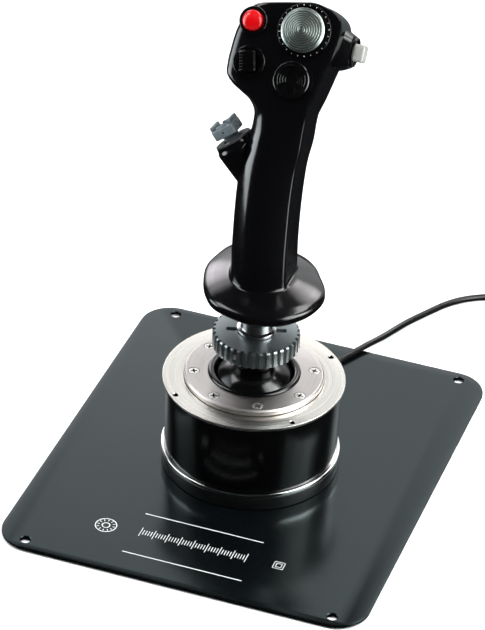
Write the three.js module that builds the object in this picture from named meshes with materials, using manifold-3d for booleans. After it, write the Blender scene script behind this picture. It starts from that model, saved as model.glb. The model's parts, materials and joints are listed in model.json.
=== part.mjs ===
// A flight joystick: a sprung two-axis base on a steel plate, and a handgrip that a ring nut holds to it.
// Millimetres, +Z up. The origin is on the ground under the plate's centre. The pilot sits at -Y, +X is right.

import * as THREE from 'three';
import { mergeVertices } from 'three/addons/utils/BufferGeometryUtils.js';
import Module from 'manifold-3d';

const wasm = await Module();
wasm.setup();

// ---------- driving dimensions ----------
const GAP = 0.3; // between pieces that touch
// how many flats stand for a full turn, on large, middling and small round pieces
const LARGE = 28;
const MIDDLE = 18;
const SMALL = 8;

const PLATE = { x: 248, y: 296, corner: 22, bottom: 1.5, top: 3.7, holeX: 103.6, holeY: 139.6, holeR: 3.4 };
const PAD = { r: 9, x: 98, y: 116, top: 1.2 };

const FOOT = { r: 59, bottom: 4, top: 13.1, wall: 5 };
const TRIM = { r: 59.3, top: 16.3 };
const HOUSING = { r: 57.5, wall: 3, top: 67.3 };
const TOP_RING = { r: 60, inner: 46, bottom: 67.6, top: 69.5, holes: 4, holeAt: 56.5, holeR: 1.8 };
const DISC = { r: 45.9, inner: 30.4, bottom: 69.8, top: 73.6 };
const SCREW = { count: 8, at: 39.5, headR: 3.5, headH: 1.9, shankR: 1.5, bottom: 67.9 };

const PIVOT_Z = 50; // both gimbal axes cross here
const BALL = { r: 33.5, flat: 34, pinR: 2.5, pinEnd: 38.4, boreR: 8.3, boreBottom: 58 };
const GIMBAL = { inner: 34.2, outer: 39.2, half: 4, pinEnd: 44.2, holeR: 2.8 };
const FRAME = { inner: 41.3, outer: 45.2, bottom: 36, lip: 34, lipBottom: 67, top: 69.3 };
const SPRING = { r: 24, wire: 1.3, bottom: 10.2, top: 32.4, turns: 4 };

const STEM = { r: 8, bore: 5.5, bottom: 58.3, top: 148 };
const COLLAR_TOP = 93.4;
const NECK = { r: 10.5, bore: 8.3, top: 147, bottom: 93.8 };
const NUT = { r: 28.5, bore: 10.9, bottom: 93.8, top: 106, ridges: 36, depth: 1.5, slotAngle: 19 };

const FLANGE = { bottom: 133, rim: 140, top: 147.5, recess: 3, centre: [1.5, 7] };
// the hand rest's rim seen from above, anticlockwise from the front
const HAND_REST = [
  [1, -35], [14, -34], [26, -28.5], [35, -18], [40, -6], [41.3, 6], [38.5, 16], [32, 27], [25.5, 36.5],
  [15.5, 44.5], [2, 49], [-13, 50.5], [-26, 47], [-33.5, 38], [-37.5, 24], [-38.8, 12], [-36, -2],
  [-29.5, -16.5], [-19, -28.5],
];
const WALL = 3; // grip moulding
const FACE = { y: 9, z: 275, tilt: 33 }; // the head's control face: a point on it and its tilt back

// where each head control sits on the face (x, up the face) and its sizes
const WEAPON = { x: -23.2, up: 45.1, r: 6.5, bezel: 9.4, travel: 1.5 };
const TRIM_HAT = { x: 10.4, up: 45.4, r: 14, bezel: 17.2 };
const SQUARE_HAT = { x: -20.2, up: 19.4, wide: 10.6, tall: 13.8, bezel: 10.4 };
const ROUND_HAT = { x: 10, up: 13.6, r: 11.8 };
const ROLL = 13; // the hats' rows of ridges climb to the right by this angle

// the left-hand thumb hat, on its boss
const BOSS = { at: [-26.7, 15.9, 234.6], axis: [-0.62, 0.1, 0.78], r: 13.8, top: 12.6, mount: 12.4, length: 29 };
// the square button on the right of the head
const MASTER = { up: 39.4, depth: 22, base: 27, face: 38.2, collar: 40.4, end: 46.4, size: 11, travel: 1.5 };

const TRIGGER = { pin: [0, 47, 257], r: 1.6, width: 11, slot: 13, cheek: 20 };
const PADDLE = { pin: [0, 33.5, 197], r: 1.5, width: 19, slot: 21, cheek: 27 };
const STEERING = { at: [0, 41.6, 213], axis: [0, 1, -0.2], r: 6, travel: 1.5 };

const CABLE = { r: 2.2, exitZ: 9.3, glandEnd: 84 };
// the spare cable is wound flat beside the plate: the free run joins the coil's outer turn at its far side
const COIL = { x: 146, y: 223, inner: 11.8, outer: 36.4, height: 10.4 };
const TIE = { angle: -60, width: 8, thick: 0.9 };
// the free run of the cable, from the gland to the coil, by hand
const CABLE_ROUTE = [
  [0, 84.3, 9.3], [0.5, 90, 9], [2.2, 97, 8.1], [5.4, 104.5, 6.9], [9.8, 111.5, 6.2], [14.8, 118, 5.95],
  [19.6, 125, 5.95], [24.4, 134, 5.95], [28.8, 143, 5.95], [32.8, 152, 5.8], [36.6, 161, 5], [40.4, 171, 4],
  [44, 181.5, 3.1], [48, 192, 2.5], [52.6, 201.5, 2.3], [57.4, 210, 2.3], [62.2, 218.5, 2.3],
  [67.4, 227, 2.3], [74.2, 235.4, 2.3], [82.8, 242.8, 2.3], [93, 248.8, 2.3], [104, 253.2, 2.3],
  [115.5, 255.9, 2.3], [127, 256.9, 2.3],
];
// its far end, from the coil to the plug
const TAIL_ROUTE = [[176, 247.5, 5.6], [183, 240, 4.6], [187.6, 231.5, 4.3], [189, 224, 4.3], [189, 219, 4.3]];
const PLUG = {
  x: 189, z: 4.3, relief: 221, back: 212, front: 184, tip: 170, grip: [15, 8.2], shell: [12, 4.5],
};

// ---------- colours ----------
const paint = (color, roughness, metalness) => ({ color, roughness, metalness });
const BLACK_GLOSS = paint(0x0b0b0d, 0.25, 0);
const BLACK_SATIN = paint(0x17191b, 0.5, 0.1);
const PLATE_PAINT = paint(0x33393c, 0.55, 0.2);
const SILVER = paint(0xd3d0c8, 0.35, 0.9);
const CHROME = paint(0xe4e4e4, 0.12, 1);
const GREY_METAL = paint(0x80888a, 0.45, 0.7);
const HAT_METAL = paint(0x93a097, 0.35, 0.8);
const GREY_PLASTIC = paint(0x8a9193, 0.5, 0);
const RED = paint(0xd40812, 0.35, 0);
const RUBBER = paint(0x111111, 0.9, 0);
const BOARD = paint(0x1f5a35, 0.6, 0);
const STEEL = paint(0xa9adb0, 0.35, 0.9);

// ---------- geometry helpers ----------
const assembly = new THREE.Group();
const radians = THREE.MathUtils.degToRad;

/** The closed solid of a geometry, moved by a matrix if one is given. */
function solid(geometry, matrix) {
  const source = geometry.index ? geometry.toNonIndexed() : geometry.clone();
  source.deleteAttribute('normal');
  source.deleteAttribute('uv');
  if (matrix) source.applyMatrix4(matrix);
  const merged = mergeVertices(source, 1e-4);
  const corners = merged.index.array;
  const kept = [];
  for (let i = 0; i < corners.length; i += 3) {
    const [a, b, c] = [corners[i], corners[i + 1], corners[i + 2]];
    if (a !== b && b !== c && c !== a) kept.push(a, b, c);
  }
  const vertices = merged.getAttribute('position').array;
  if (signedVolume(vertices, kept) < 0) {
    for (let i = 0; i < kept.length; i += 3) [kept[i], kept[i + 1]] = [kept[i + 1], kept[i]];
  }
  return new wasm.Manifold(
    new wasm.Mesh({ numProp: 3, vertProperties: new Float32Array(vertices), triVerts: new Uint32Array(kept) })
  );
}

function signedVolume(vertices, corners) {
  const [a, b, c] = [new THREE.Vector3(), new THREE.Vector3(), new THREE.Vector3()];
  let total = 0;
  for (let i = 0; i < corners.length; i += 3) {
    a.fromArray(vertices, corners[i] * 3);
    b.fromArray(vertices, corners[i + 1] * 3);
    c.fromArray(vertices, corners[i + 2] * 3);
    total += a.dot(b.cross(c));
  }
  return total;
}

/** Adds a solid to the assembly as a named mesh with its own material. */
function add(name, body, look) {
  const mesh = body.getMesh();
  const geometry = new THREE.BufferGeometry();
  geometry.setAttribute('position', new THREE.BufferAttribute(new Float32Array(mesh.vertProperties), 3));
  geometry.setIndex(new THREE.BufferAttribute(new Uint32Array(mesh.triVerts), 1));
  geometry.computeVertexNormals();
  const part = new THREE.Mesh(geometry, new THREE.MeshStandardMaterial(look));
  part.name = name;
  assembly.add(part);
  return body;
}

const at = (x, y, z) => new THREE.Matrix4().makeTranslation(x, y, z);

/** A frame with its own +Z along the given axis and its +X as near as can be to the given hint. */
function along(axis, origin, hint = [1, 0, 0]) {
  const z = new THREE.Vector3(...axis).normalize();
  const y = z.clone().cross(new THREE.Vector3(...hint)).normalize();
  const x = y.clone().cross(z);
  return new THREE.Matrix4().makeBasis(x, y, z).setPosition(...origin);
}

/** Revolves (radius, height) points about Z; a profile off the axis closes on itself. */
function turned(profile, segments = MIDDLE, matrix) {
  const points = profile.map(([r, h]) => new THREE.Vector2(r, h));
  if (profile[0][0] > 0) points.push(points[0].clone());
  const geometry = new THREE.LatheGeometry(points, segments);
  geometry.rotateX(Math.PI / 2);
  return solid(geometry, matrix);
}

const tube = (inner, outer, bottom, top, segments, matrix) =>
  turned([[inner, bottom], [outer, bottom], [outer, top], [inner, top]], segments, matrix);

const rod = (r, bottom, top, segments = SMALL, matrix) =>
  turned([[0, bottom], [r, bottom], [r, top], [0, top]], segments, matrix);

/** A block given by its lowest and highest corners. */
function block(low, high, matrix) {
  const size = high.map((v, i) => v - low[i]);
  const geometry = new THREE.BoxGeometry(...size);
  geometry.translate(...low.map((v, i) => v + size[i] / 2));
  return solid(geometry, matrix);
}

/** A flat outline, drawn in XY, from one height to another. */
function prism(shape, bottom, top, curveSegments = 6, matrix) {
  const depth = top - bottom;
  const geometry = new THREE.ExtrudeGeometry(shape, { depth, bevelEnabled: false, curveSegments });
  geometry.translate(0, 0, bottom);
  return solid(geometry, matrix);
}

function roundedRectangle(width, height, radius) {
  const shape = new THREE.Shape();
  const [x, y] = [width / 2 - radius, height / 2 - radius];
  shape.absarc(x, y, radius, 0, Math.PI / 2);
  shape.absarc(-x, y, radius, Math.PI / 2, Math.PI);
  shape.absarc(-x, -y, radius, Math.PI, 1.5 * Math.PI);
  shape.absarc(x, -y, radius, 1.5 * Math.PI, 2 * Math.PI);
  return shape;
}

/** A tube along a smooth curve through points. */
function swept(points, radius, steps, sides) {
  const stops = points.map((p) => new THREE.Vector3(...p));
  const curve = new THREE.CatmullRomCurve3(stops, false, 'catmullrom', 0.5);
  const outline = new THREE.Shape(
    Array.from({ length: sides }, (_, i) => {
      const angle = (2 * Math.PI * (i + 0.5)) / sides;
      return new THREE.Vector2(radius * Math.cos(angle), radius * Math.sin(angle));
    })
  );
  return solid(new THREE.ExtrudeGeometry(outline, { steps, extrudePath: curve, bevelEnabled: false }));
}

/** Skins a row of outlines that all have the same number of points, and closes both ends. */
function lofted(outlines) {
  const count = outlines[0].length;
  const positions = outlines.flat().flatMap((p) => [p.x, p.y, p.z]);
  const faces = [];
  for (let s = 0; s + 1 < outlines.length; s++) {
    for (let i = 0; i < count; i++) {
      const [a, b] = [s * count + i, s * count + ((i + 1) % count)];
      faces.push(a, b, b + count, a, b + count, a + count);
    }
  }
  [0, outlines.length - 1].forEach((s, end) => {
    const centre = new THREE.Vector3();
    outlines[s].forEach((p) => centre.addScaledVector(p, 1 / count));
    const hub = positions.length / 3;
    positions.push(centre.x, centre.y, centre.z);
    for (let i = 0; i < count; i++) {
      const [a, b] = [s * count + i, s * count + ((i + 1) % count)];
      faces.push(hub, end ? a : b, end ? b : a);
    }
  });
  const geometry = new THREE.BufferGeometry();
  geometry.setAttribute('position', new THREE.Float32BufferAttribute(positions, 3));
  geometry.setIndex(faces);
  return solid(geometry);
}

// ---------- the plate and its pads ----------
function buildPlate() {
  let plate = prism(roundedRectangle(PLATE.x, PLATE.y, PLATE.corner), PLATE.bottom, PLATE.top);
  for (const sx of [-1, 1]) {
    for (const sy of [-1, 1]) {
      const place = at(sx * PLATE.holeX, sy * PLATE.holeY, 0);
      plate = plate.subtract(rod(PLATE.holeR, 0, 10, SMALL, place));
    }
  }
  add('base_plate', plate, PLATE_PAINT);
  let number = 1;
  for (const sy of [-1, 1]) {
    for (const sx of [-1, 1]) {
      add(`rubber_foot_${number++}`, rod(PAD.r, 0, PAD.top, MIDDLE, at(sx * PAD.x, sy * PAD.y, 0)), RUBBER);
    }
  }
}

// ---------- the base's shells ----------
function buildShells() {
  const floor = FOOT.bottom + 4;
  const cableHole = rod(3.4, 40, 70, SMALL, along([0, 1, 0], [0, 0, CABLE.exitZ]));
  const foot = turned([
    [0, FOOT.bottom], [FOOT.r, FOOT.bottom], [FOOT.r, FOOT.top], [FOOT.r - FOOT.wall, FOOT.top],
    [FOOT.r - FOOT.wall, floor], [10, floor], [10, 12.4], [0, 12.4],
  ], LARGE);
  add('base_foot', foot.subtract(cableHole), BLACK_SATIN);
  add('trim_ring', tube(FOOT.r - FOOT.wall, TRIM.r, FOOT.top + GAP, TRIM.top, LARGE), CHROME);
  const housing = tube(HOUSING.r - HOUSING.wall, HOUSING.r, TRIM.top + GAP, HOUSING.top, LARGE);
  add('base_housing', housing, BLACK_SATIN);

  let ring = tube(TOP_RING.inner, TOP_RING.r, TOP_RING.bottom, TOP_RING.top, LARGE);
  for (let i = 0; i < TOP_RING.holes; i++) {
    const angle = radians(45 + (360 / TOP_RING.holes) * i);
    const place = at(TOP_RING.holeAt * Math.cos(angle), TOP_RING.holeAt * Math.sin(angle), 0);
    ring = ring.subtract(rod(TOP_RING.holeR, 60, 80, SMALL, place));
  }
  add('top_ring', ring, SILVER);
}

function buildDisc() {
  let disc = turned([
    [DISC.inner, DISC.bottom], [DISC.r, DISC.bottom], [DISC.r, DISC.top - 1], [DISC.r - 1, DISC.top],
    [DISC.inner, DISC.top],
  ], LARGE);
  const [seat, flush] = [DISC.top - SCREW.headH, DISC.top - 0.1];
  const head = [[0, seat], [SCREW.shankR, seat], [SCREW.headR, flush - 0.2], [SCREW.headR, flush], [0, flush]];
  const [shankHole, headHole] = [SCREW.shankR + GAP, SCREW.headR + GAP];
  const hole = [
    [0, 60], [shankHole, 60], [shankHole, seat - GAP], [headHole, flush - 0.4], [headHole, 80], [0, 80],
  ];
  const frameHoles = [];
  for (let i = 0; i < SCREW.count; i++) {
    const angle = radians(-67.5 + (360 / SCREW.count) * i);
    const place = at(SCREW.at * Math.cos(angle), SCREW.at * Math.sin(angle), 0);
    disc = disc.subtract(turned(hole, SMALL, place));
    frameHoles.push(rod(SCREW.shankR + GAP, 60, 80, SMALL, place));
    const shank = rod(SCREW.shankR, SCREW.bottom, flush - 1, SMALL, place);
    add(`disc_screw_${i + 1}`, turned(head, SMALL, place).add(shank), STEEL);
  }
  add('retaining_disc', disc, SILVER);
  add('socket_bezel', turned([
    [29.6, 67.2], [33.4, 67.2], [33.4, 69.4], [30, 69.4], [30, 74.2], [29, 75], [27, 75], [26.2, 74],
    [28.4, 69.5],
  ], LARGE), BLACK_GLOSS);
  return frameHoles;
}

// ---------- the two-axis pivot ----------
function buildPivot(frameHoles) {
  const alongX = along([1, 0, 0], [0, 0, PIVOT_Z], [0, 1, 0]);
  const alongY = along([0, 1, 0], [0, 0, PIVOT_Z]);

  let frame = turned([
    [FRAME.inner, FRAME.bottom], [FRAME.outer, FRAME.bottom], [FRAME.outer, FRAME.top], [FRAME.lip, FRAME.top],
    [FRAME.lip, FRAME.lipBottom], [FRAME.inner, FRAME.lipBottom],
  ], LARGE);
  frame = frame.subtract(rod(GIMBAL.holeR, -60, 60, SMALL, alongX));
  for (const hole of frameHoles) frame = frame.subtract(hole);
  add('gimbal_frame', frame, GREY_METAL);

  let ring = tube(GIMBAL.inner, GIMBAL.outer, PIVOT_Z - GIMBAL.half, PIVOT_Z + GIMBAL.half, LARGE);
  ring = ring.subtract(rod(GIMBAL.holeR, -60, 60, SMALL, alongY));
  for (const side of [-1, 1]) {
    const ends = [side * (GIMBAL.outer - 1), side * GIMBAL.pinEnd].sort((a, b) => a - b);
    ring = ring.add(rod(BALL.pinR, ends[0], ends[1], SMALL, alongX));
  }
  add('gimbal_ring', ring, STEEL);

  // the ball is cut flat below for the spring and bored from above for the stem
  const sphere = new THREE.SphereGeometry(BALL.r, 24, 12);
  sphere.rotateX(Math.PI / 2);
  let ball = solid(sphere, at(0, 0, PIVOT_Z));
  ball = ball.subtract(block([-50, -50, 0], [50, 50, BALL.flat]));
  ball = ball.add(rod(BALL.pinR, -BALL.pinEnd, BALL.pinEnd, SMALL, alongY));
  ball = ball.subtract(rod(BALL.boreR, BALL.boreBottom, 100, MIDDLE));
  ball = ball.add(rod(5, 20, BALL.flat + 1, SMALL)).subtract(rod(3.3, 15, 22, SMALL));
  add('ball', ball, BLACK_GLOSS);
  add('sensor_magnet', rod(3, 18.6, 21.7, SMALL), STEEL);

  const coils = Array.from({ length: SPRING.turns * 12 + 1 }, (_, i) => {
    const angle = (2 * Math.PI * i) / 12;
    const height = SPRING.bottom + ((SPRING.top - SPRING.bottom) * i) / (SPRING.turns * 12);
    return [SPRING.r * Math.cos(angle), SPRING.r * Math.sin(angle), height];
  });
  add('centring_spring', swept(coils, SPRING.wire, SPRING.turns * 12, 5), STEEL);

  add('sensor_board', rod(18, 12.7, 14.3, MIDDLE).add(block([-3, -3, 14], [3, 3, 15.4])), BOARD);
  const board = block([-19, -50, 8.4], [19, -30, 10]).add(block([-5, -45, 9.9], [5, -36, 11.6]));
  add('controller_board', board.add(block([9, -41, 9.9], [16, -34, 14])), BOARD);
}

// ---------- the stem and the ring nut ----------
function buildStem() {
  add('stem_tube', tube(STEM.bore, STEM.r, STEM.bottom, STEM.top, MIDDLE), STEEL);
  add('stem_collar', turned([
    [STEM.r + GAP, 84], [13.5, 81.2], [16, 84.5], [19, 88.5], [21.5, 90.5], [21.5, COLLAR_TOP],
    [STEM.r + GAP, COLLAR_TOP],
  ], MIDDLE), BLACK_GLOSS);
  add('grip_neck', turned([
    [NECK.bore, NECK.bottom], [NECK.r, NECK.bottom], [NECK.r, 106.3], [13, 106.3], [13, 108.3], [NECK.r, 109],
    [NECK.r, NECK.top], [NECK.bore, NECK.top],
  ], MIDDLE), STEEL);

  const outline = new THREE.Shape();
  for (let i = 0; i < NUT.ridges; i++) {
    const pitch = (2 * Math.PI) / NUT.ridges;
    const corners = [[-0.28, NUT.r - NUT.depth], [-0.22, NUT.r], [0.22, NUT.r], [0.28, NUT.r - NUT.depth]];
    for (const [part, r] of corners) {
      const angle = pitch * (i + part);
      const [x, y] = [r * Math.cos(angle), r * Math.sin(angle)];
      if (outline.curves.length || outline.currentPoint.lengthSq()) outline.lineTo(x, y);
      else outline.moveTo(x, y);
    }
  }
  outline.closePath();
  let nut = prism(outline, NUT.bottom + 1.6, NUT.top - 1);
  const root = NUT.r - NUT.depth;
  nut = nut.add(rod(root - 0.4, NUT.bottom, NUT.bottom + 2, LARGE));
  const crown = NUT.top - 1.5;
  const top = [[0, crown], [root, crown], [root, NUT.top - 1], [root - 1, NUT.top], [0, NUT.top]];
  nut = nut.add(turned(top, LARGE));
  nut = nut.subtract(rod(NUT.bore, 80, 120, MIDDLE));
  // two spanner slots, one each side of the neck
  const slotTurn = new THREE.Matrix4().makeRotationZ(radians(NUT.slotAngle));
  nut = nut.subtract(block([-19.5, -2, crown], [19.5, 2, NUT.top + 5], slotTurn));
  add('ring_nut', nut, GREY_METAL);
}

const acrossPin = (place) => along([1, 0, 0], place, [0, 1, 0]);

// ---------- the handgrip ----------
// Each station of the grip is an outline across it. It has a front apex, a crisp edge at the right front,
// a flat strip down the right side, a round left side and a round back. "lean" tilts the outline's plane back,
// "roll" lifts its right side, and "bow" is how far the front's edges lie behind its apex.
const HANDLE = [
  { y: -17.2, z: 145, lean: 5, left: -21.3, right: 19.4, apex: 1, bow: 10, strip: 24, depth: 47, front: 2.1 },
  { y: -16.2, z: 152, lean: 6, left: -21, right: 19, apex: 1, bow: 10, strip: 24, depth: 46, front: 2.1 },
  { y: -13.2, z: 170, lean: 8, left: -21.6, right: 18, apex: 0, bow: 9.6, strip: 24, depth: 45, front: 2.1 },
  { y: -9.4, z: 190, lean: 10, left: -22.2, right: 17.4, apex: -1, bow: 9, strip: 24, depth: 45, front: 2.1 },
  { y: -5.2, z: 210, lean: 11, left: -22.4, right: 17.2, apex: -1, bow: 8.4, strip: 25, depth: 45, front: 2.1 },
  { y: -1.4, z: 228, lean: 12, left: -21, right: 18, apex: 0, bow: 7.4, strip: 26, depth: 45, front: 2.2 },
  { y: 1.6, z: 243, lean: 14, left: -18, right: 20, apex: 1.5, bow: 5.8, strip: 28, depth: 45.5, front: 2.3 },
  { y: 4.2, z: 256, lean: 19, left: -15.4, right: 21, apex: 3, bow: 3.8, strip: 28, depth: 45, front: 2.5 },
  { y: 6.4, z: 266, lean: 27, left: -15.2, right: 22.4, apex: 3, bow: 1.6, strip: 28, depth: 45, front: 3 },
];
// Stations of the head, by their height up the control face.
const HEAD = [
  { up: -3, left: -18, right: 22.4, roll: 0, depth: 46, front: 4 },
  { up: 1, left: -24, right: 23.8, roll: 1, depth: 47, front: 5 },
  { up: 6, left: -31, right: 25.2, roll: 2, depth: 48, front: 6 },
  { up: 11, left: -34.8, right: 26.4, roll: 3, depth: 48.5, front: 7 },
  { up: 19, left: -36.2, right: 28.4, roll: 4.5, depth: 48.5, front: 7 },
  { up: 29, left: -36.2, right: 31.2, roll: 6.5, depth: 47.5, front: 7 },
  { up: 38, left: -35.8, right: 33.2, roll: 8.5, depth: 46, front: 7 },
  { up: 45, left: -35, right: 33.6, roll: 10, depth: 44, front: 7 },
  { up: 50.6, left: -33.6, right: 31.4, roll: 11, depth: 41, front: 6.5 },
  { up: 55, left: -32, right: 27, roll: 11, depth: 37.5, front: 6 },
  { up: 58.2, left: -30, right: 21.6, roll: 11, depth: 34, front: 5 },
  { up: 60.6, left: -27, right: 15.6, roll: 11, depth: 31, front: 4.5 },
  { up: 61.8, left: -23.4, right: 10, roll: 11, depth: 27, front: 4, inset: 1.8 },
];

function stations() {
  const tilt = radians(FACE.tilt);
  const head = HEAD.map((s) => ({
    y: FACE.y + s.up * Math.sin(tilt), z: FACE.z + s.up * Math.cos(tilt), lean: FACE.tilt,
    apex: 0, bow: 0, strip: s.depth * 0.62, inset: 0, ...s,
  }));
  return [...HANDLE.map((s) => ({ roll: 0, inset: 0, ...s })), ...head];
}

/** Points of one station's outline as (across, depth) pairs, the right front edge first. */
function outlineOf(s, steps) {
  const points = [];
  const curve = (cornerX, cornerD, reachX, reachD, power, rising) => {
    for (let i = 0; i < steps; i++) {
      const angle = (Math.PI / 2) * (i / steps);
      const [c, d] = [Math.cos(angle) ** (2 / power), Math.sin(angle) ** (2 / power)];
      points.push([cornerX + reachX * (rising ? c : d), cornerD + reachD * (rising ? d : c)]);
    }
  };
  const middle = s.bow + 0.42 * (s.depth - s.bow);
  for (let i = 0; i < steps - 1; i++) {
    const t = 1 - i / (steps - 1);
    points.push([s.apex + (s.right - s.apex) * t, s.bow * t * t]);
  }
  curve(s.apex, middle, s.left - s.apex, -middle, s.front, false);
  curve(s.apex, middle, s.left - s.apex, s.depth - middle, 2.4, true);
  const rear = s.bow + s.strip;
  curve(s.apex, rear, s.right - s.apex, s.depth - rear, 2.4, false);
  points.push([s.right, rear]);
  points.push([s.right, (s.bow + rear) / 2]);
  return points;
}

/** The grip's surface, drawn in by an amount, over a span of its stations. */
function gripBody(drawIn, from, to, steps) {
  const outlines = stations().slice(from, to).map((s) => {
    const [lean, roll] = [radians(s.lean), radians(s.roll)];
    const [c, d] = [Math.cos(roll), Math.sin(roll)];
    const sideways = new THREE.Vector3(c, d * Math.sin(lean), d * Math.cos(lean));
    const inward = new THREE.Vector3(0, Math.cos(lean), -Math.sin(lean));
    const origin = new THREE.Vector3(0, s.y, s.z);
    const [midX, midD] = [(s.left + s.right) / 2, s.depth / 2];
    const shrinkX = 1 - drawIn / ((s.right - s.left) / 2);
    const shrinkD = 1 - (drawIn + s.inset) / (s.depth / 2);
    return outlineOf(s, steps).map(([x, d]) => {
      const [px, pd] = [midX + (x - midX) * shrinkX, midD + (d - midD) * shrinkD];
      return origin.clone().addScaledVector(sideways, px).addScaledVector(inward, pd);
    });
  });
  return lofted(outlines);
}

/** The hand rest: a rimmed oval at the foot of the grip, sloping up to the handle. */
function flangeBody() {
  const rim = new THREE.CatmullRomCurve3(HAND_REST.map(([x, y]) => new THREE.Vector3(x, y, 0)), true);
  const points = rim.getPoints(MIDDLE * 2).slice(0, -1);
  const [x, y] = FLANGE.centre;
  const ring = (scale, z) => points.map(
    (p) => new THREE.Vector3(x + (p.x - x) * scale, y + (p.y - y) * scale, z)
  );
  return lofted([
    ring(0.98, FLANGE.bottom), ring(1.03, FLANGE.bottom + 1.5), ring(1.03, FLANGE.rim - 1.2),
    ring(1, FLANGE.rim), ring(0.74, 143.8), ring(0.5, FLANGE.top),
  ]);
}

const headFrame = new THREE.Matrix4().makeBasis(
  new THREE.Vector3(1, 0, 0),
  new THREE.Vector3(0, Math.sin(radians(FACE.tilt)), Math.cos(radians(FACE.tilt))),
  new THREE.Vector3(0, -Math.cos(radians(FACE.tilt)), Math.sin(radians(FACE.tilt)))
).setPosition(0, FACE.y, FACE.z);

/** The frame of a control on the head's face: +Z out of the face. */
const onFace = (place, roll = 0) => headFrame.clone().multiply(at(place.x, place.up, 0))
  .multiply(new THREE.Matrix4().makeRotationZ(radians(roll)));

const bossFrame = along(BOSS.axis, BOSS.at);
const masterFrame = (() => {
  const spot = new THREE.Vector3(0, MASTER.up, -MASTER.depth).applyMatrix4(headFrame);
  const tilt = radians(FACE.tilt);
  return along([1, 0, 0], [0, spot.y, spot.z], [0, Math.cos(tilt), -Math.sin(tilt)]);
})();

/** The thumb hat's boss leans into the handle: rows of (radius, shift across, shift back, height). */
function bossLoft(rows) {
  return lofted(rows.map(([r, x, y, height]) => Array.from({ length: MIDDLE }, (_, i) => {
    const angle = (2 * Math.PI * i) / MIDDLE;
    return new THREE.Vector3(x + r * Math.cos(angle), y + r * Math.sin(angle), height).applyMatrix4(bossFrame);
  })));
}

/** A rounded square outline for the side button and its boss. */
function squareLoft(rows, corner) {
  return lofted(rows.map(([half, height]) => {
    const shape = roundedRectangle(half * 2, half * 2, corner * half);
    const points = shape.getPoints(4).slice(0, -1);
    return points.map((p) => new THREE.Vector3(p.x, p.y, height).applyMatrix4(masterFrame));
  }));
}

/** A block across the grip, centred on X = 0. */
const across = (width, low, high) => block([-width / 2, ...low], [width / 2, ...high]);

function gripOpenings() {
  const [, triggerY, triggerZ] = TRIGGER.pin;
  const [, paddleY, paddleZ] = PADDLE.pin;
  return [
    rod(NECK.r + GAP, 100, 160, MIDDLE),
    rod(28, FLANGE.bottom - 5, FLANGE.bottom + FLANGE.recess, MIDDLE),
    rod(WEAPON.bezel - 1.4, -8, 8, MIDDLE, onFace(WEAPON)),
    rod(9, -8, 8, MIDDLE, onFace(TRIM_HAT)),
    rod(7.4, -8, 8, MIDDLE, onFace(SQUARE_HAT)),
    rod(7.4, -8, 8, MIDDLE, onFace(ROUND_HAT)),
    rod(6.8, -8, 8, MIDDLE, bossFrame),
    rod(6.6, MASTER.base - 6, MASTER.face + 5, MIDDLE, masterFrame),
    rod(STEERING.r + 0.5, -9, 14, MIDDLE, along(STEERING.axis, STEERING.at)),
    across(TRIGGER.slot, [triggerY - 6, triggerZ - 12], [triggerY + 16, triggerZ + 7]),
    across(PADDLE.slot, [paddleY - 5, paddleZ - 10], [paddleY + 12, paddleZ + 6]),
    rod(TRIGGER.r + 0.1, -TRIGGER.cheek, TRIGGER.cheek, SMALL, acrossPin(TRIGGER.pin)),
    rod(PADDLE.r + 0.1, -PADDLE.cheek, PADDLE.cheek, SMALL, acrossPin(PADDLE.pin)),
  ];
}

function buildGrip() {
  const last = HANDLE.length + HEAD.length;
  const outside = gripBody(0, 0, last, 6);
  const boss = bossLoft([
    [8.5, -5.3, 3, -BOSS.length], [BOSS.r, 0, 0, -4.2], [BOSS.top, 0, 0, -1.6], [BOSS.top, 0, 0, 0],
  ]);
  const bossHollow = bossLoft([[5, -4, 3, WALL - BOSS.length], [10.5, 0, 0, -4.2], [9.4, 0, 0, -WALL]]);
  const buttonBoss = squareLoft([[13.5, MASTER.base], [13, 32], [10, MASTER.face]], 0.5);
  let shell = outside.add(flangeBody()).add(boss).add(buttonBoss);
  shell = shell.subtract(gripBody(WALL, 1, last - 3, 4)).subtract(bossHollow);
  // cheeks inside carry the trigger's and the paddle's pins
  for (const { pin, cheek } of [TRIGGER, PADDLE]) {
    shell = shell.add(across(cheek, [pin[1] - 5, pin[2] - 9], [pin[1] + 15, pin[2] + 5]).intersect(outside));
  }
  for (const opening of gripOpenings()) shell = shell.subtract(opening);
  const far = 200;
  add('grip_shell_left', shell.intersect(block([-far, -far, 0], [-GAP / 2, far, 400])), BLACK_GLOSS);
  add('grip_shell_right', shell.intersect(block([GAP / 2, -far, 0], [far, far, 400])), BLACK_GLOSS);
  add('grip_board', block([-8, 8, 158], [8, 9.6, 226]).add(block([-5, 9.5, 180], [5, 12.5, 192])), BOARD);
}

// ---------- the buttons and hats ----------
/** A round cap in a bezel, with a collar behind it that keeps it in. */
function buildWeapon() {
  const frame = onFace(WEAPON);
  add('weapon_bezel', turned([
    [WEAPON.r + 0.4, -2.6], [WEAPON.bezel - 1.7, -2.6], [WEAPON.bezel - 1.7, 0.3], [WEAPON.bezel, 0.3],
    [WEAPON.bezel - 0.5, 1.6], [WEAPON.r + 0.4, 1.6],
  ], MIDDLE, frame), BLACK_GLOSS);
  add('weapon_button', turned([
    [0, -5.4], [WEAPON.r - 0.8, -5.4], [WEAPON.r, -4.6], [WEAPON.r, 3.2], [5.4, 4.8], [3, 5.9], [0, 6.2],
  ], MIDDLE, frame), RED);
}

/** The cross-pin block under a hat: the hat tips on it one way, and it tips in the shell the other way. */
function hatPivot(name, frame, depth) {
  const place = frame.clone().multiply(at(0, 0, -depth));
  add(name, rod(2.4, -2, 2, SMALL, place).add(block([-1, -3.6, -1], [1, 3.6, 1], place)), STEEL);
}

const HAT_DEPTH = 6; // from a hat's seat down to its pivot

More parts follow.
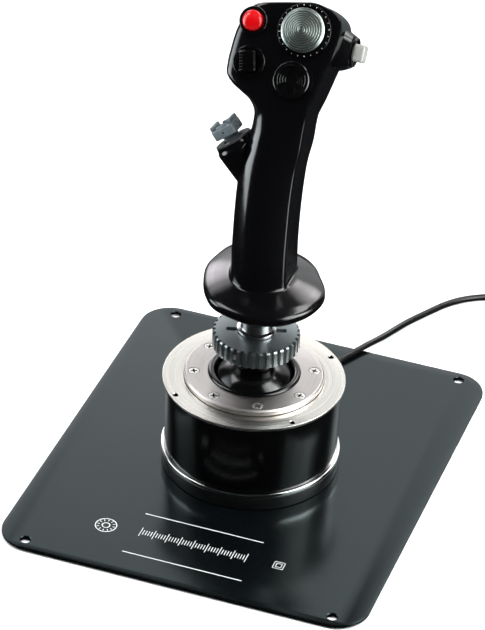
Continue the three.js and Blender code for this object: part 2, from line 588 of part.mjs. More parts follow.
/** The stalk that a hat stands on, hollow below for its cross-pin block. */
const stalk = (top, frame) => turned([[0, -2.6], [3, -2.6], [3, top], [0, top]], SMALL, frame);

function buildTrimHat() {
  const frame = onFace(TRIM_HAT, ROLL);
  hatPivot('trim_pivot', frame, HAT_DEPTH);
  add('trim_bezel', turned([
    [TRIM_HAT.r + 1.4, 0.3], [TRIM_HAT.bezel, 0.3], [TRIM_HAT.bezel - 0.4, 1.4], [TRIM_HAT.r + 1.4, 1.4],
  ], MIDDLE, frame), BLACK_GLOSS);
  const rows = [[0, 3.6], [12, 3.6], [TRIM_HAT.r, 4.4], [TRIM_HAT.r, 5.2], [12.8, 6.2]];
  for (let i = 1; i < 5; i++) {
    const r = 12.8 - 2.2 * i;
    rows.push([r + 0.9, 6.1 + 0.9 * i], [r, 6.5 + 0.9 * i]);
  }
  rows.push([2.4, 10.9], [0, 11]);
  add('trim_hat', turned(rows, MIDDLE, frame).add(stalk(4, frame)), HAT_METAL);
}

function buildSquareHat() {
  const frame = onFace(SQUARE_HAT, ROLL);
  hatPivot('square_hat_pivot', frame, HAT_DEPTH);
  add('square_hat_collar', turned([
    [SQUARE_HAT.bezel - 1.3, 0.3], [SQUARE_HAT.bezel, 0.3], [SQUARE_HAT.bezel - 0.4, 1.8],
    [SQUARE_HAT.bezel - 1, 1.8],
  ], MIDDLE, frame), BLACK_GLOSS);
  let hat = prism(roundedRectangle(SQUARE_HAT.wide, SQUARE_HAT.tall, 1.6), 3.8, 6.4, 4, frame);
  const ridge = SQUARE_HAT.wide / 2 - 0.6;
  for (let i = -3; i <= 3; i++) {
    const y = i * 1.9;
    hat = hat.add(block([-ridge, y - 0.45, 6.2], [ridge, y + 0.45, 7.2], frame));
  }
  add('square_hat', hat.add(stalk(5, frame)), BLACK_SATIN);
}

function buildRoundHat() {
  const frame = onFace(ROUND_HAT, ROLL);
  hatPivot('round_hat_pivot', frame, HAT_DEPTH);
  let hat = turned([
    [0, 3], [ROUND_HAT.r - 1.5, 3], [ROUND_HAT.r, 4], [ROUND_HAT.r, 5.2], [ROUND_HAT.r - 0.8, 6],
    [7, 5.2], [0, 4.6],
  ], MIDDLE, frame).add(stalk(4, frame));
  for (let i = 0; i < 4; i++) {
    const turn = frame.clone().multiply(new THREE.Matrix4().makeRotationZ((Math.PI / 2) * i));
    hat = hat.add(block([-2.6, 6.2, 4], [2.6, 8.8, 6.2], turn));
  }
  add('round_hat', hat, BLACK_GLOSS);
}

function buildThumbHat() {
  add('thumb_hat_mount', tube(6.6, BOSS.mount, GAP, 1.5, MIDDLE, bossFrame), BLACK_SATIN);
  const plunger = rod(3.4, -9.5, -5, SMALL, bossFrame).add(rod(4.6, -6.5, -5, SMALL, bossFrame));
  add('thumb_hat_plunger', plunger, STEEL);
  hatPivot('thumb_hat_pivot', bossFrame, 2.4);
  let hat = prism(roundedRectangle(16.6, 15.4, 2.6), 5, 11.6, 3, bossFrame);
  for (const side of [-1, 1]) {
    const turn = bossFrame.clone().multiply(new THREE.Matrix4().makeScale(side, side, 1));
    hat = hat.add(block([5.2, -6, 11.4], [8, 6, 14.6], turn));
    hat = hat.add(block([-3.4, 5, 11.4], [3.4, 7.4, 13], turn));
  }
  const neck = turned([[0, 0.9], [4.9, 0.9], [4.9, 3], [6.2, 5.4], [0, 5.4]], SMALL, bossFrame);
  add('thumb_hat', hat.add(neck), GREY_PLASTIC);
}

function buildMasterButton() {
  add('master_collar', tube(8.2, 9.4, MASTER.face + GAP, MASTER.collar, MIDDLE, masterFrame), BLACK_GLOSS);
  const half = MASTER.size / 2;
  const rows = [[half, MASTER.face + 2], [half, MASTER.end - 0.6], [half - 0.6, MASTER.end]];
  let button = squareLoft(rows, 0.25);
  button = button.add(rod(4.4, MASTER.base - 2, MASTER.collar, SMALL, masterFrame));
  add('master_button', button, GREY_PLASTIC);
}

// ---------- the trigger, the wheel-steering button and the paddle ----------
/** A lever hung on a cross pin: its side view is drawn from the pin's centre, as (back, up) points. */
function lever(name, pinName, { pin, r, width, cheek }, sideView) {
  const place = new THREE.Matrix4().makeBasis(
    new THREE.Vector3(0, 1, 0), new THREE.Vector3(0, 0, 1), new THREE.Vector3(1, 0, 0)
  ).setPosition(...pin);
  const pinHole = rod(r + GAP, -30, 30, SMALL, acrossPin(pin));
  add(name, prism(sideView, -width / 2, width / 2, 5, place).subtract(pinHole), BLACK_SATIN);
  add(pinName, rod(r, -cheek / 2 + GAP, cheek / 2 - GAP, SMALL, acrossPin(pin)), STEEL);
}

function buildTrigger() {
  const side = new THREE.Shape();
  side.moveTo(-4, 1);
  side.quadraticCurveTo(-3, 5, 1, 4.4);
  side.quadraticCurveTo(8, 2, 9.4, -6);
  side.quadraticCurveTo(8.6, -17, 12, -27);
  side.lineTo(8.6, -28.4);
  side.quadraticCurveTo(4.6, -18, 4.6, -9);
  side.quadraticCurveTo(1, -4, -4, 1);
  lever('trigger', 'trigger_pin', TRIGGER, side);
}

function buildPaddle() {
  const side = new THREE.Shape();
  side.moveTo(-2.6, 0);
  side.quadraticCurveTo(-1.5, 3, 1.4, 3);
  side.quadraticCurveTo(9, 1, 9, -8);
  side.lineTo(9, -34);
  side.quadraticCurveTo(10, -41, 14, -43);
  side.lineTo(13, -45);
  side.quadraticCurveTo(6, -43, 6, -34);
  side.lineTo(5.4, -9);
  side.quadraticCurveTo(3, -4, -2.6, 0);
  lever('paddle_lever', 'paddle_pin', PADDLE, side);
}

function buildSteeringButton() {
  add('steering_button', turned([
    [0, -6], [STEERING.r - 0.6, -6], [STEERING.r, -5], [STEERING.r, 2.6], [STEERING.r - 1.4, 3.6], [0, 3.2],
  ], MIDDLE, along(STEERING.axis, STEERING.at)), BLACK_SATIN);
}

// ---------- the cable ----------
function buildCable() {
  const out = along([0, 1, 0], [0, 0, CABLE.exitZ]);
  add('cable_gland', turned([
    [0, 50], [3.1, 50], [3.1, FOOT.r + GAP], [5.2, FOOT.r + GAP], [5.2, 61.5], [4.4, 62.5],
    [2.8, CABLE.glandEnd], [0, CABLE.glandEnd],
  ], SMALL, out), RUBBER);
  add('usb_cable', swept(CABLE_ROUTE, CABLE.r, 40, 8), RUBBER);

  const centre = at(COIL.x, COIL.y, 0);
  const [low, high] = [1.5, COIL.height - 1.5];
  const coil = turned([
    [COIL.inner, low], [COIL.inner + 1.5, 0], [COIL.outer - 1.5, 0], [COIL.outer, low], [COIL.outer, high],
    [COIL.outer - 1.5, COIL.height], [COIL.inner + 1.5, COIL.height], [COIL.inner, high],
  ], LARGE, centre);
  const band = (grow) => {
    const half = TIE.width / 2 + grow;
    const inside = TIE.thick + grow;
    const place = centre.clone().multiply(new THREE.Matrix4().makeRotationZ(radians(TIE.angle)));
    const [low, high] = [[COIL.inner - grow, -half, -grow], [COIL.outer + grow, half, COIL.height + grow]];
    const outer = block(low, high, place);
    return outer.subtract(
      block([COIL.inner + inside, -50, inside], [COIL.outer - inside, 50, COIL.height - inside], place)
    );
  };
  add('usb_cable_coil', coil.subtract(band(GAP)), RUBBER);
  add('coil_tie', band(0), BLACK_SATIN);
}

/** The plug lies flat beside the coil, pointing at the pilot's side. */
function buildPlug() {
  const place = along([0, -1, 0], [PLUG.x, 0, PLUG.z]);
  const [back, front, tip] = [-PLUG.back, -PLUG.front, -PLUG.tip];
  const [gripWide, gripHigh] = PLUG.grip;
  const [shellWide, shellHigh] = PLUG.shell;
  const grip = prism(roundedRectangle(gripWide, gripHigh, 2), back, front, 4, place);
  const relief = turned([[0, -PLUG.relief], [2.6, -PLUG.relief], [3.6, back + 1], [0, back + 1]], SMALL, place);
  add('usb_plug_grip', grip.add(relief).add(swept(TAIL_ROUTE, CABLE.r, 10, 8)), BLACK_SATIN);
  const [x, y] = [shellWide / 2, shellHigh / 2];
  const box = (inset, from, to) => block([-x + inset, -y + inset, from], [x - inset, y - inset, to], place);
  const tongue = block([-5, 0.2, front + 1], [5, 1.5, tip - 1], place);
  add('usb_plug_shell', box(0, front + GAP, tip).subtract(box(0.4, front + 2, tip + 1)).add(tongue), CHROME);
}

buildPlate();
buildShells();
buildPivot(buildDisc());
buildStem();
buildGrip();
buildWeapon();
buildTrimHat();
buildSquareHat();
buildRoundHat();
buildThumbHat();
buildMasterButton();
buildTrigger();
buildPaddle();
buildSteeringButton();
buildCable();
buildPlug();

export default assembly;
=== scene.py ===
"""A flight joystick's looks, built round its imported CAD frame. Shapes are made in millimetres."""
import json
import math
import random

import bmesh
import bpy
import numpy as np
from mathutils import Matrix, Vector

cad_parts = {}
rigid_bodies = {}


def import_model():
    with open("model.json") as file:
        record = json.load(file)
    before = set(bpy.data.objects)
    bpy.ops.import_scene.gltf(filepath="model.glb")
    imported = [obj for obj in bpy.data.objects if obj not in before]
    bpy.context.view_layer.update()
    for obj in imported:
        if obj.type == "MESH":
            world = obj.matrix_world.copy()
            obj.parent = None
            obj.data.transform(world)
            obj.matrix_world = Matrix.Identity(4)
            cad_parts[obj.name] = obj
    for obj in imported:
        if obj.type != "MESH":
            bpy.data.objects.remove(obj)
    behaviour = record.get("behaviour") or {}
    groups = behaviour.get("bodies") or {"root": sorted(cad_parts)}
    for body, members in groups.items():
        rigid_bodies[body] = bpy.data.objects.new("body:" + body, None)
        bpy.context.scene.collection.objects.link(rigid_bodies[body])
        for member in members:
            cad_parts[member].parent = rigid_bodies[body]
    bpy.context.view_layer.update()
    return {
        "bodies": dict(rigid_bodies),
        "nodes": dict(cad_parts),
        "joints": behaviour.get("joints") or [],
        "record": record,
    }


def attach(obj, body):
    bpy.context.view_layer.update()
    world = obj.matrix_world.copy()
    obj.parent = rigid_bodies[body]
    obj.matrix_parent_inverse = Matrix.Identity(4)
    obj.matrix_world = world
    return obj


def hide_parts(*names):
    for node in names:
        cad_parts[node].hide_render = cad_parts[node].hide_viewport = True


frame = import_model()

MM = 0.001
ROUND = 144  # flats per turn on large round pieces
SMALL = 48  # and on small ones
RING = 150  # points round the grip's outline

# ---------- driving dimensions, as in the CAD ----------
PLATE = dict(x=248, y=296, corner=22, bottom=1.5, top=3.7, hole_x=103.6, hole_y=139.6, hole_r=3.4)
PAD = dict(r=9, x=98, y=116, top=1.2)
FOOT = dict(r=59, bottom=4, top=13.1, wall=5)
TRIM = dict(r=59.3, bottom=13.4, top=16.3)
HOUSING = dict(r=57.5, wall=3, bottom=16.6, top=67.3)
TOP_RING = dict(r=60, inner=46, bottom=67.6, top=69.5, holes=4, hole_at=56.5, hole_r=1.8)
DISC = dict(r=45.9, inner=30.4, bottom=69.8, top=73.6)
SCREW = dict(count=8, at=39.5, head_r=3.5, head_h=1.9, shank_r=1.5, bottom=67.9, first=-67.5)
PIVOT_Z = 50
BALL = dict(r=33.5, flat=34, bore=8.3, bore_bottom=58, pin_r=2.5, pin_end=38.4)
SPRING = dict(r=24, wire=1.2, bottom=10.2, top=32.4, turns=4, steps=36)
NUT = dict(r=28.5, bore=10.9, bottom=93.8, top=106, ridges=36, depth=1.5, slot_angle=19, land=0.44,
           shoulder=0.1, bottom_r=27.4, top_r=27.7)
SET_SCREW = dict(angle=math.radians(258), z=99.6, hole_r=1.9, r=1.75)
NECK = dict(r=10.5, bore=8.3, bottom=93.8, top=147)
FLANGE = dict(bottom=133, rim=140, top=147.5, recess=3, centre=(1.5, 7))
WALL = 3
FACE = dict(y=9, z=275, tilt=33)
WEAPON = dict(x=-23.2, up=45.1, r=6.5, bezel=9.4)
TRIM_HAT = dict(x=10.4, up=45.4, r=14, bezel=17.2)
SQUARE_HAT = dict(x=-20.2, up=19.4, wide=10.6, tall=13.8, bezel=10.4)
ROUND_HAT = dict(x=10, up=13.6, r=11.8)
ROLL = 13
BOSS = dict(at=(-26.7, 15.9, 234.6), axis=(-0.62, 0.1, 0.78), r=13.8, top=12.6, mount=12.4, length=29)
MASTER = dict(up=39.4, depth=22, base=27, face=38.2, collar=40.4, end=46.4, size=11)
TRIGGER = dict(pin=(0, 47, 257), r=1.6, width=11, slot=13, cheek=20)
PADDLE = dict(pin=(0, 33.5, 197), r=1.5, width=19, slot=21, cheek=27)
STEERING = dict(at=(0, 41.6, 213), axis=(0, 1, -0.2), r=6)

# the hand rest's rim from above
HAND_REST = [
    (1, -35), (14, -34), (26, -28.5), (35, -18), (40, -6), (41.3, 6), (38.5, 16), (32, 27), (25.5, 36.5),
    (15.5, 44.5), (2, 49), (-13, 50.5), (-26, 47), (-33.5, 38), (-37.5, 24), (-38.8, 12), (-36, -2),
    (-29.5, -16.5), (-19, -28.5),
]
# stations up the handle: y, z, lean, left, right, apex, bow, strip, depth, front
HANDLE = [
    (-17.2, 145, 5, -21.3, 19.4, 1, 10, 24, 47, 2.1),
    (-16.2, 152, 6, -21, 19, 1, 10, 24, 46, 2.1),
    (-13.2, 170, 8, -21.6, 18, 0, 9.6, 24, 45, 2.1),
    (-9.4, 190, 10, -22.2, 17.4, -1, 9, 24, 45, 2.1),
    (-5.2, 210, 11, -22.4, 17.2, -1, 8.4, 25, 45, 2.1),
    (-1.4, 228, 12, -21, 18, 0, 7.4, 26, 45, 2.2),
    (1.6, 243, 14, -18, 20, 1.5, 5.8, 28, 45.5, 2.3),
    (4.2, 256, 19, -15.4, 21, 3, 3.8, 28, 45, 2.5),
    (6.4, 266, 27, -15.2, 22, 3, 1.6, 28, 45, 3),
]
# stations up the head's face: up, left, right, roll, depth, front, inset
HEAD = [
    (-3, -18, 22.9, 0, 46, 4, 0),
    (1, -24, 23.8, 1, 47, 5, 0),
    (6, -31, 25.2, 2, 48, 6, 0),
    (11, -34.8, 26.4, 3, 48.5, 7, 0),
    (19, -36.2, 28.4, 4.5, 48.5, 7, 0),
    (29, -36.2, 31.2, 6.5, 47.5, 7, 0),
    (38, -35.8, 33.2, 8.5, 46, 7, 0),
    (45, -35, 33.6, 10, 44, 7, 0),
    (50.6, -33.6, 31.4, 11, 41, 6.5, 0),
    (55, -32, 27, 11, 37.5, 6, 0),
    (58.2, -30, 21.6, 11, 34, 5, 0),
    (60.6, -27, 15.6, 11, 31, 4.5, 0),
    (61.8, -23.4, 10, 11, 27, 4, 1.8),
]
STRIP_SHARE = 0.62  # how much of the head's depth its flat side takes

CABLE_R = 2.2
CABLE_ROUTE = [
    (0, 84.3, 9.3), (0.5, 90, 9), (2.2, 97, 8.1), (5.4, 104.5, 6.9), (9.8, 111.5, 6.2), (14.8, 118, 5.95),
    (19.6, 125, 5.95), (24.4, 134, 5.95), (28.8, 143, 5.95), (32.8, 152, 5.8), (36.6, 161, 5),
    (40.4, 171, 4), (44, 181.5, 3.1), (48, 192, 2.5), (52.6, 201.5, 2.3), (57.4, 210, 2.3),
    (62.2, 218.5, 2.3), (67.4, 227, 2.3), (74.2, 235.4, 2.3), (82.8, 242.8, 2.3), (93, 248.8, 2.3),
    (104, 253.2, 2.3), (115.5, 255.9, 2.3), (127, 256.9, 2.3),
]
TAIL_ROUTE = [(176, 247.5, 5.6), (183, 240, 4.6), (187.6, 231.5, 4.3), (189, 224, 4.3), (189, 219, 4.3)]
COIL = dict(x=146, y=223, outer=34, knee=15.6, inner=13.8, pitch_out=4.95, start=2.3, low=3.1, high=7.6,
            leave=6, turns_in=4.35, turns_out=4.79)
PLUG = dict(x=189, z=4.3, relief=221, back=212, front=184, tip=170, grip=(15, 8.2), shell=(12, 4.5))
TIE = dict(angle=-60, width=8, inner=11.8, outer=36.4, height=10.4)


# ---------- camera ----------
def add_camera():
    camera = bpy.data.objects.new("camera", bpy.data.cameras.new("camera"))
    bpy.context.scene.collection.objects.link(camera)
    camera.data.lens = 206.74
    camera.data.clip_end = 50
    turn = Matrix.Rotation(math.radians(17.71), 4, "Z") @ Matrix.Rotation(math.radians(90 - 34.01), 4, "X")
    roll = Matrix.Rotation(math.radians(2.9), 4, "Z")
    camera.matrix_world = Matrix.Translation((0.580986, -1.850726, 1.425756)) @ turn @ roll
    bpy.context.scene.camera = camera


# ---------- materials ----------
class Surface:
    """A principled material with short calls for the nodes that give it its detail."""

    def __init__(self, name, color, roughness, metallic=0.0, **sockets):
        self.material = bpy.data.materials.new(name)
        self.material.use_nodes = True
        self.tree = self.material.node_tree
        self.shader = self.tree.nodes["Principled BSDF"]
        self.color = color
        self.roughness = roughness
        self.shader.inputs["Base Color"].default_value = (*color, 1)
        self.shader.inputs["Roughness"].default_value = roughness
        self.shader.inputs["Metallic"].default_value = metallic
        for socket, value in sockets.items():
            self.shader.inputs[socket.replace("_", " ")].default_value = value
        coordinates = self.tree.nodes.new("ShaderNodeTexCoord")
        self.object_space = coordinates.outputs["Object"]
        self.height = None

    def link(self, output, target):
        self.tree.links.new(output, target)

    def math(self, operation, a, b=None):
        node = self.tree.nodes.new("ShaderNodeMath")
        node.operation = operation
        for socket, value in zip(node.inputs, (a, b)):
            if isinstance(value, (int, float)):
                socket.default_value = value
            elif value is not None:
                self.link(value, socket)
        return node.outputs[0]

    def noise(self, size, detail=2.0, stretch=(1, 1, 1), space=None, rough=0.5):
        """Noise whose features are about size millimetres across, stretched along X, Y or Z."""
        mapping = self.tree.nodes.new("ShaderNodeMapping")
        mapping.inputs["Scale"].default_value = [1 / s for s in stretch]
        self.link(space or self.object_space, mapping.inputs["Vector"])
        node = self.tree.nodes.new("ShaderNodeTexNoise")
        node.inputs["Scale"].default_value = 1 / (size * MM)
        node.inputs["Detail"].default_value = detail
        node.inputs["Roughness"].default_value = rough
        self.link(mapping.outputs[0], node.inputs["Vector"])
        return node.outputs["Fac"]

    def span(self, value, low, high, start=0.3, end=0.7):
        """Maps start..end of a value to low..high."""
        node = self.tree.nodes.new("ShaderNodeMapRange")
        self.link(value, node.inputs["Value"])
        node.inputs["From Min"].default_value = start
        node.inputs["From Max"].default_value = end
        node.inputs["To Min"].default_value = low
        node.inputs["To Max"].default_value = high
        return node.outputs[0]

    def tint(self, factor, other, under=None):
        """Mixes another colour over the surface's own by a factor."""
        node = self.tree.nodes.new("ShaderNodeMix")
        node.data_type = "RGBA"
        self.link(factor, node.inputs["Factor"])
        if under is None:
            node.inputs["A"].default_value = (*self.color, 1)
        else:
            self.link(under, node.inputs["A"])
        node.inputs["B"].default_value = (*other, 1)
        self.link(node.outputs["Result"], self.shader.inputs["Base Color"])
        return node.outputs["Result"]

    def rough(self, value):
        self.link(value, self.shader.inputs["Roughness"])

    def uneven(self, size, detail, low, high):
        """Roughness that wanders from low to high in patches of a size."""
        self.rough(self.span(self.noise(size, detail), low, high))

    def grain(self, size, detail, distance):
        """Bumps of a size, so many millimetres high."""
        self.bump(self.noise(size, detail), distance)

    def bump(self, height, distance, strength=1.0):
        """Raises the surface by a height of so many millimetres, over what is there already."""
        node = self.tree.nodes.new("ShaderNodeBump")
        node.inputs["Strength"].default_value = strength
        node.inputs["Distance"].default_value = distance * MM
        self.link(height, node.inputs["Height"])
        if self.height:
            self.link(self.height, node.inputs["Normal"])
        self.height = node.outputs[0]
        self.link(self.height, self.shader.inputs["Normal"])

    def paint_shade_below(self, height, radius, under):
        """Paints shade into holes and recesses: blackens what lies below a height, within a radius, in the
        piece's frame.
        """
        parts = self.tree.nodes.new("ShaderNodeSeparateXYZ")
        self.link(self.object_space, parts.inputs[0])
        around_axis = self.tree.nodes.new("ShaderNodeSeparateXYZ")
        self.link(self.polar(), around_axis.inputs[0])
        low = self.span(parts.outputs[2], 1, 0, (height - 0.15) * MM, height * MM)
        inside = self.span(around_axis.outputs[0], 1, 0, (radius - 0.1) * MM, radius * MM)
        # painted shade: near black where the piece lies low and within the radius
        self.tint(self.math("MULTIPLY", low, inside), (0.006, 0.006, 0.006), under)

    def polar(self):
        """Radius, angle and height about the object's own Z axis, as a vector with the angle stretched."""
        parts = self.tree.nodes.new("ShaderNodeSeparateXYZ")
        self.link(self.object_space, parts.inputs[0])
        x, y, z = parts.outputs
        radius = self.math("SQRT", self.math("ADD", self.math("MULTIPLY", x, x), self.math("MULTIPLY", y, y)))
        angle = self.math("ARCTAN2", y, x)
        joined = self.tree.nodes.new("ShaderNodeCombineXYZ")
        self.link(radius, joined.inputs[0])
        self.link(self.math("MULTIPLY", angle, 0.02), joined.inputs[1])
        self.link(z, joined.inputs[2])
        return joined.outputs[0]


def gloss_plastic(name="black gloss plastic", color=(0.0012, 0.0012, 0.0014), roughness=0.15):
    s = Surface(name, color, roughness)
    s.uneven(9, 3, roughness - 0.03, roughness + 0.05)
    s.tint(s.span(s.noise(0.35, 2), 0, 1, 0.62, 0.8), tuple(c * 2.2 for c in color))
    s.grain(0.5, 1.5, 0.003)
    s.grain(4, 1, 0.006)
    return s.material


def grip_plastic():
    """Black gloss, a touch sharper from the handle up than on the hand rest below it."""
    s = Surface("grip plastic", (0.0012, 0.0012, 0.0015), 0.15)
    parts = s.tree.nodes.new("ShaderNodeSeparateXYZ")
    s.link(s.object_space, parts.inputs[0])
    finish = s.span(parts.outputs[2], 0.15, 0.13, 0.146, 0.152)
    s.rough(s.math("ADD", finish, s.span(s.noise(9, 3), -0.02, 0.04)))
    s.tint(s.span(s.noise(0.35, 2), 0, 1, 0.62, 0.8), (0.003, 0.003, 0.0035))
    s.grain(0.5, 1.5, 0.003)
    s.grain(4, 1, 0.006)
    return s.material


def satin_plastic(name, color, roughness=0.42, grain=0.35):
    s = Surface(name, color, roughness)
    s.uneven(6, 3, roughness - 0.05, roughness + 0.07)
    s.tint(s.span(s.noise(2.5, 4), 0, 1), tuple(c * 1.25 for c in color))
    s.grain(grain, 3, 0.012)
    return s.material


def powder_coat():
    s = Surface("powder coated steel", (0.0008, 0.0013, 0.0016), 0.2, Specular_Tint=(0.76, 0.98, 1, 1))
    pebble = s.noise(0.55, 2)
    s.uneven(18, 4, 0.17, 0.21)
    first = s.tint(s.span(s.noise(30, 3), 0, 1), (0.0013, 0.0018, 0.0021))
    s.tint(s.span(s.noise(0.3, 1), 0, 1, 0.68, 0.74), (0.012, 0.014, 0.016), first)
    s.bump(pebble, 0.012)
    s.grain(3.5, 2, 0.01)
    return s.material


def satin_black_metal(name="black lacquered metal", roughness=0.17):
    s = Surface(name, (0.0008, 0.0008, 0.0009), roughness)
    s.rough(s.span(s.noise(12, 3, (1, 1, 4)), roughness - 0.02, roughness + 0.03))
    s.tint(s.span(s.noise(0.4, 1), 0, 1, 0.66, 0.75), (0.006, 0.006, 0.007))
    s.grain(0.6, 2, 0.006)
    return s.material


def turned_metal(name, color, roughness, grooves=0.16, anisotropy=0.55, other=None, holes=None):
    """Metal with fine rings round its own Z axis, as a lathe leaves it."""
    s = Surface(name, color, roughness, 1.0, Anisotropic=anisotropy)
    tangent = s.tree.nodes.new("ShaderNodeTangent")
    tangent.direction_type = "RADIAL"
    tangent.axis = "Z"
    s.link(tangent.outputs[0], s.shader.inputs["Tangent"])
    polar = s.polar()
    rings = s.noise(grooves, 3, (1, 60, 1), polar, 0.7)
    s.rough(s.span(rings, roughness - 0.07, roughness + 0.09))
    worn = s.tint(s.span(s.noise(1.6, 4, (1, 14, 1), polar), 0, 1), other or tuple(c * 0.86 for c in color))
    # holes, when given, paints shade into what lies below a height, such as holes and seats
    if holes:
        s.paint_shade_below(*holes, worn)
    s.bump(rings, 0.004)
    return s.material


def blasted_metal(name, color, roughness=0.4, spots=0.72, holes=None):
    s = Surface(name, color, roughness, 0.9)
    s.uneven(3, 4, roughness - 0.06, roughness + 0.1)
    worn = s.tint(s.span(s.noise(5, 5), 0, 1), tuple(c * spots for c in color))
    # holes, when given, paints shade into what lies below a height, where the piece sits in a seat
    if holes:
        s.paint_shade_below(*holes, worn)
    s.grain(0.22, 3, 0.012)
    return s.material


def ringed_metal():
    """Turned alloy with painted shade in the grooves at the foot of each step of the hat."""
    s = Surface("ringed hat", (0.42, 0.48, 0.445), 0.36, 1.0)
    polar = s.tree.nodes.new("ShaderNodeSeparateXYZ")
    s.link(s.polar(), polar.inputs[0])
    radius = polar.outputs[0]
    # painted shade: a dark band at the foot of each step, every 1.45 mm out from the middle
    turn = s.math("FRACT", s.math("MULTIPLY", s.math("SUBTRACT", radius, 0.0012), 1 / 0.00145))
    groove = s.span(turn, 1, 0, 0.1, 0.45)
    s.uneven(2, 3, 0.32, 0.42)
    s.tint(groove, (0.12, 0.14, 0.13))
    s.grain(3, 2, 0.001)
    return s.material


def ridged_metal():
    """Machined grey alloy with a mottled tone and roughness, the same on ridges and grooves."""
    s = Surface("machined nut", (0.36, 0.4, 0.41), 0.34, 1.0)
    s.uneven(6, 4, 0.31, 0.37)
    s.tint(s.span(s.noise(12, 3), 0, 1), (0.33, 0.365, 0.375))
    s.grain(3, 2, 0.001)
    return s.material


def chrome():
    s = Surface("polished chrome", (0.82, 0.82, 0.81), 0.09, 1.0)
    s.uneven(6, 4, 0.06, 0.14)
    s.grain(3, 2, 0.003)
    return s.material


def rubber():
    s = Surface("cable rubber", (0.002, 0.002, 0.002), 0.3)
    s.uneven(3, 3, 0.26, 0.36)
    s.tint(s.span(s.noise(1.2, 4), 0, 1), (0.004, 0.004, 0.004))
    s.grain(0.3, 3, 0.02)
    return s.material


def circuit_board():
    s = Surface("circuit board", (0.012, 0.075, 0.03), 0.35)
    tracks = s.noise(2.2, 0, (1, 8, 1))
    s.tint(s.span(tracks, 0, 1, 0.5, 0.54), (0.02, 0.13, 0.05))
    s.uneven(5, 3, 0.3, 0.45)
    s.bump(tracks, 0.03)
    return s.material


def white_ink():
    s = Surface("white ink", (0.62, 0.64, 0.64), 0.5)
    s.tint(s.span(s.noise(0.4, 4), 0, 1, 0.45, 0.8), (0.3, 0.31, 0.32))
    s.uneven(2, 3, 0.42, 0.6)
    s.grain(0.25, 2, 0.01)
    return s.material


# ---------- mesh helpers ----------
def ring_points(r, z, count, phase=0.0):
    return [
        (r * math.cos(phase + 2 * math.pi * i / count), r * math.sin(phase + 2 * math.pi * i / count), z)
        for i in range(count)
    ]


def skin(bm, rows, closed=False):
    """Joins rows of points into a surface; a row of one point is a pole."""
    made = [[bm.verts.new(p) for p in row] for row in rows]
    pairs = list(zip(made, made[1:] + made[:1])) if closed else list(zip(made, made[1:]))
    for a, b in pairs:
        count = max(len(a), len(b))
        for i in range(count):
            corners = [a[i % len(a)], a[(i + 1) % len(a)], b[(i + 1) % len(b)], b[i % len(b)]]
            bm.faces.new(list(dict.fromkeys(corners)))
    return made


def cap(bm, row, flip=False):
    bm.faces.new(list(reversed(row)) if flip else row)


def curve_point(start, control, end, t):
    """A point of the curve from start to end that leans towards a control point."""
    return start * (1 - t) ** 2 + control * 2 * t * (1 - t) + end * t * t


def soften(points, radius, steps=4, closed=False):
    """Rounds a profile's corners; the ends of an open one stay."""
    count = len(points)
    done = []
    for i, here in enumerate(points):
        if not closed and i in (0, count - 1):
            done.append(tuple(here))
            continue
        here = Vector(here)
        back, ahead = Vector(points[i - 1]) - here, Vector(points[(i + 1) % count]) - here
        reach = min(radius, 0.45 * back.length, 0.45 * ahead.length)
        a, b = here + back.normalized() * reach, here + ahead.normalized() * reach
        done += [tuple(curve_point(a, here, b, k / steps)) for k in range(steps + 1)]
    return done


def lathe(profile, segments=SMALL, radius=0.3, place=None):
    """Revolves (radius, height) points about Z with rounded corners. One that stays off the axis closes."""
    closed = profile[0][0] > 0 and profile[-1][0] > 0
    rows = []
    for r, z in soften(profile, radius, closed=closed):
        rows.append([(0, 0, z)] if r < 1e-6 else ring_points(r, z, segments))
    bm = bmesh.new()
    skin(bm, rows, closed)
    return moved(bm, place)


def moved(bm, place):
    if place is not None:
        bmesh.ops.transform(bm, matrix=place, verts=bm.verts)
    bmesh.ops.recalc_face_normals(bm, faces=bm.faces)
    return bm


def tube(inner, outer, bottom, top, segments=ROUND, radius=0.4, place=None):
    return lathe([(inner, bottom), (outer, bottom), (outer, top), (inner, top)], segments, radius, place)


def rod(r, bottom, top, segments=SMALL, radius=0.3, place=None):
    return lathe([(0, bottom), (r, bottom), (r, top), (0, top)], segments, radius, place)


def block(low, high, radius=0.0, place=None):
    """A box from its lowest to its highest corner, with rounded edges if asked."""
    bm = bmesh.new()
    bmesh.ops.create_cube(bm, size=1)
    size = Vector(high) - Vector(low)
    middle = (Vector(high) + Vector(low)) / 2
    bmesh.ops.transform(bm, matrix=Matrix.Translation(middle) @ Matrix.Diagonal((*size, 1)), verts=bm.verts)
    if radius:
        bmesh.ops.bevel(bm, geom=bm.edges[:], offset=radius, segments=3, profile=0.5, affect="EDGES")
    return moved(bm, place)


def rounded_rectangle(width, height, radius, steps=6):
    corners = []
    for k, (sx, sy) in enumerate([(1, 1), (-1, 1), (-1, -1), (1, -1)]):
        cx, cy = sx * (width / 2 - radius), sy * (height / 2 - radius)
        for i in range(steps + 1):
            angle = math.pi / 2 * (k + i / steps)
            corners.append((cx + radius * math.cos(angle), cy + radius * math.sin(angle)))
    return corners


def prism(outline, bottom, top, edge=0.3, place=None, steps=3):
    """Extrudes an outline up Z with rounded rims."""
    centre = Vector(np.mean(outline, axis=0))
    reach = min((Vector(p) - centre).length for p in outline)
    rows = []
    for end, sign in ((bottom, 1), (top, -1)):
        turns = range(steps + 1) if sign == 1 else range(steps, -1, -1)
        for k in turns:
            angle = math.pi / 2 * k / steps
            shrink = 1 - edge * (1 - math.sin(angle)) / reach
            z = end + sign * edge * (1 - math.cos(angle))
            rows.append([(*(centre + (Vector(p) - centre) * shrink), z) for p in outline])
    bm = bmesh.new()
    made = skin(bm, rows)
    cap(bm, made[0], flip=True)
    cap(bm, made[-1])
    return moved(bm, place)


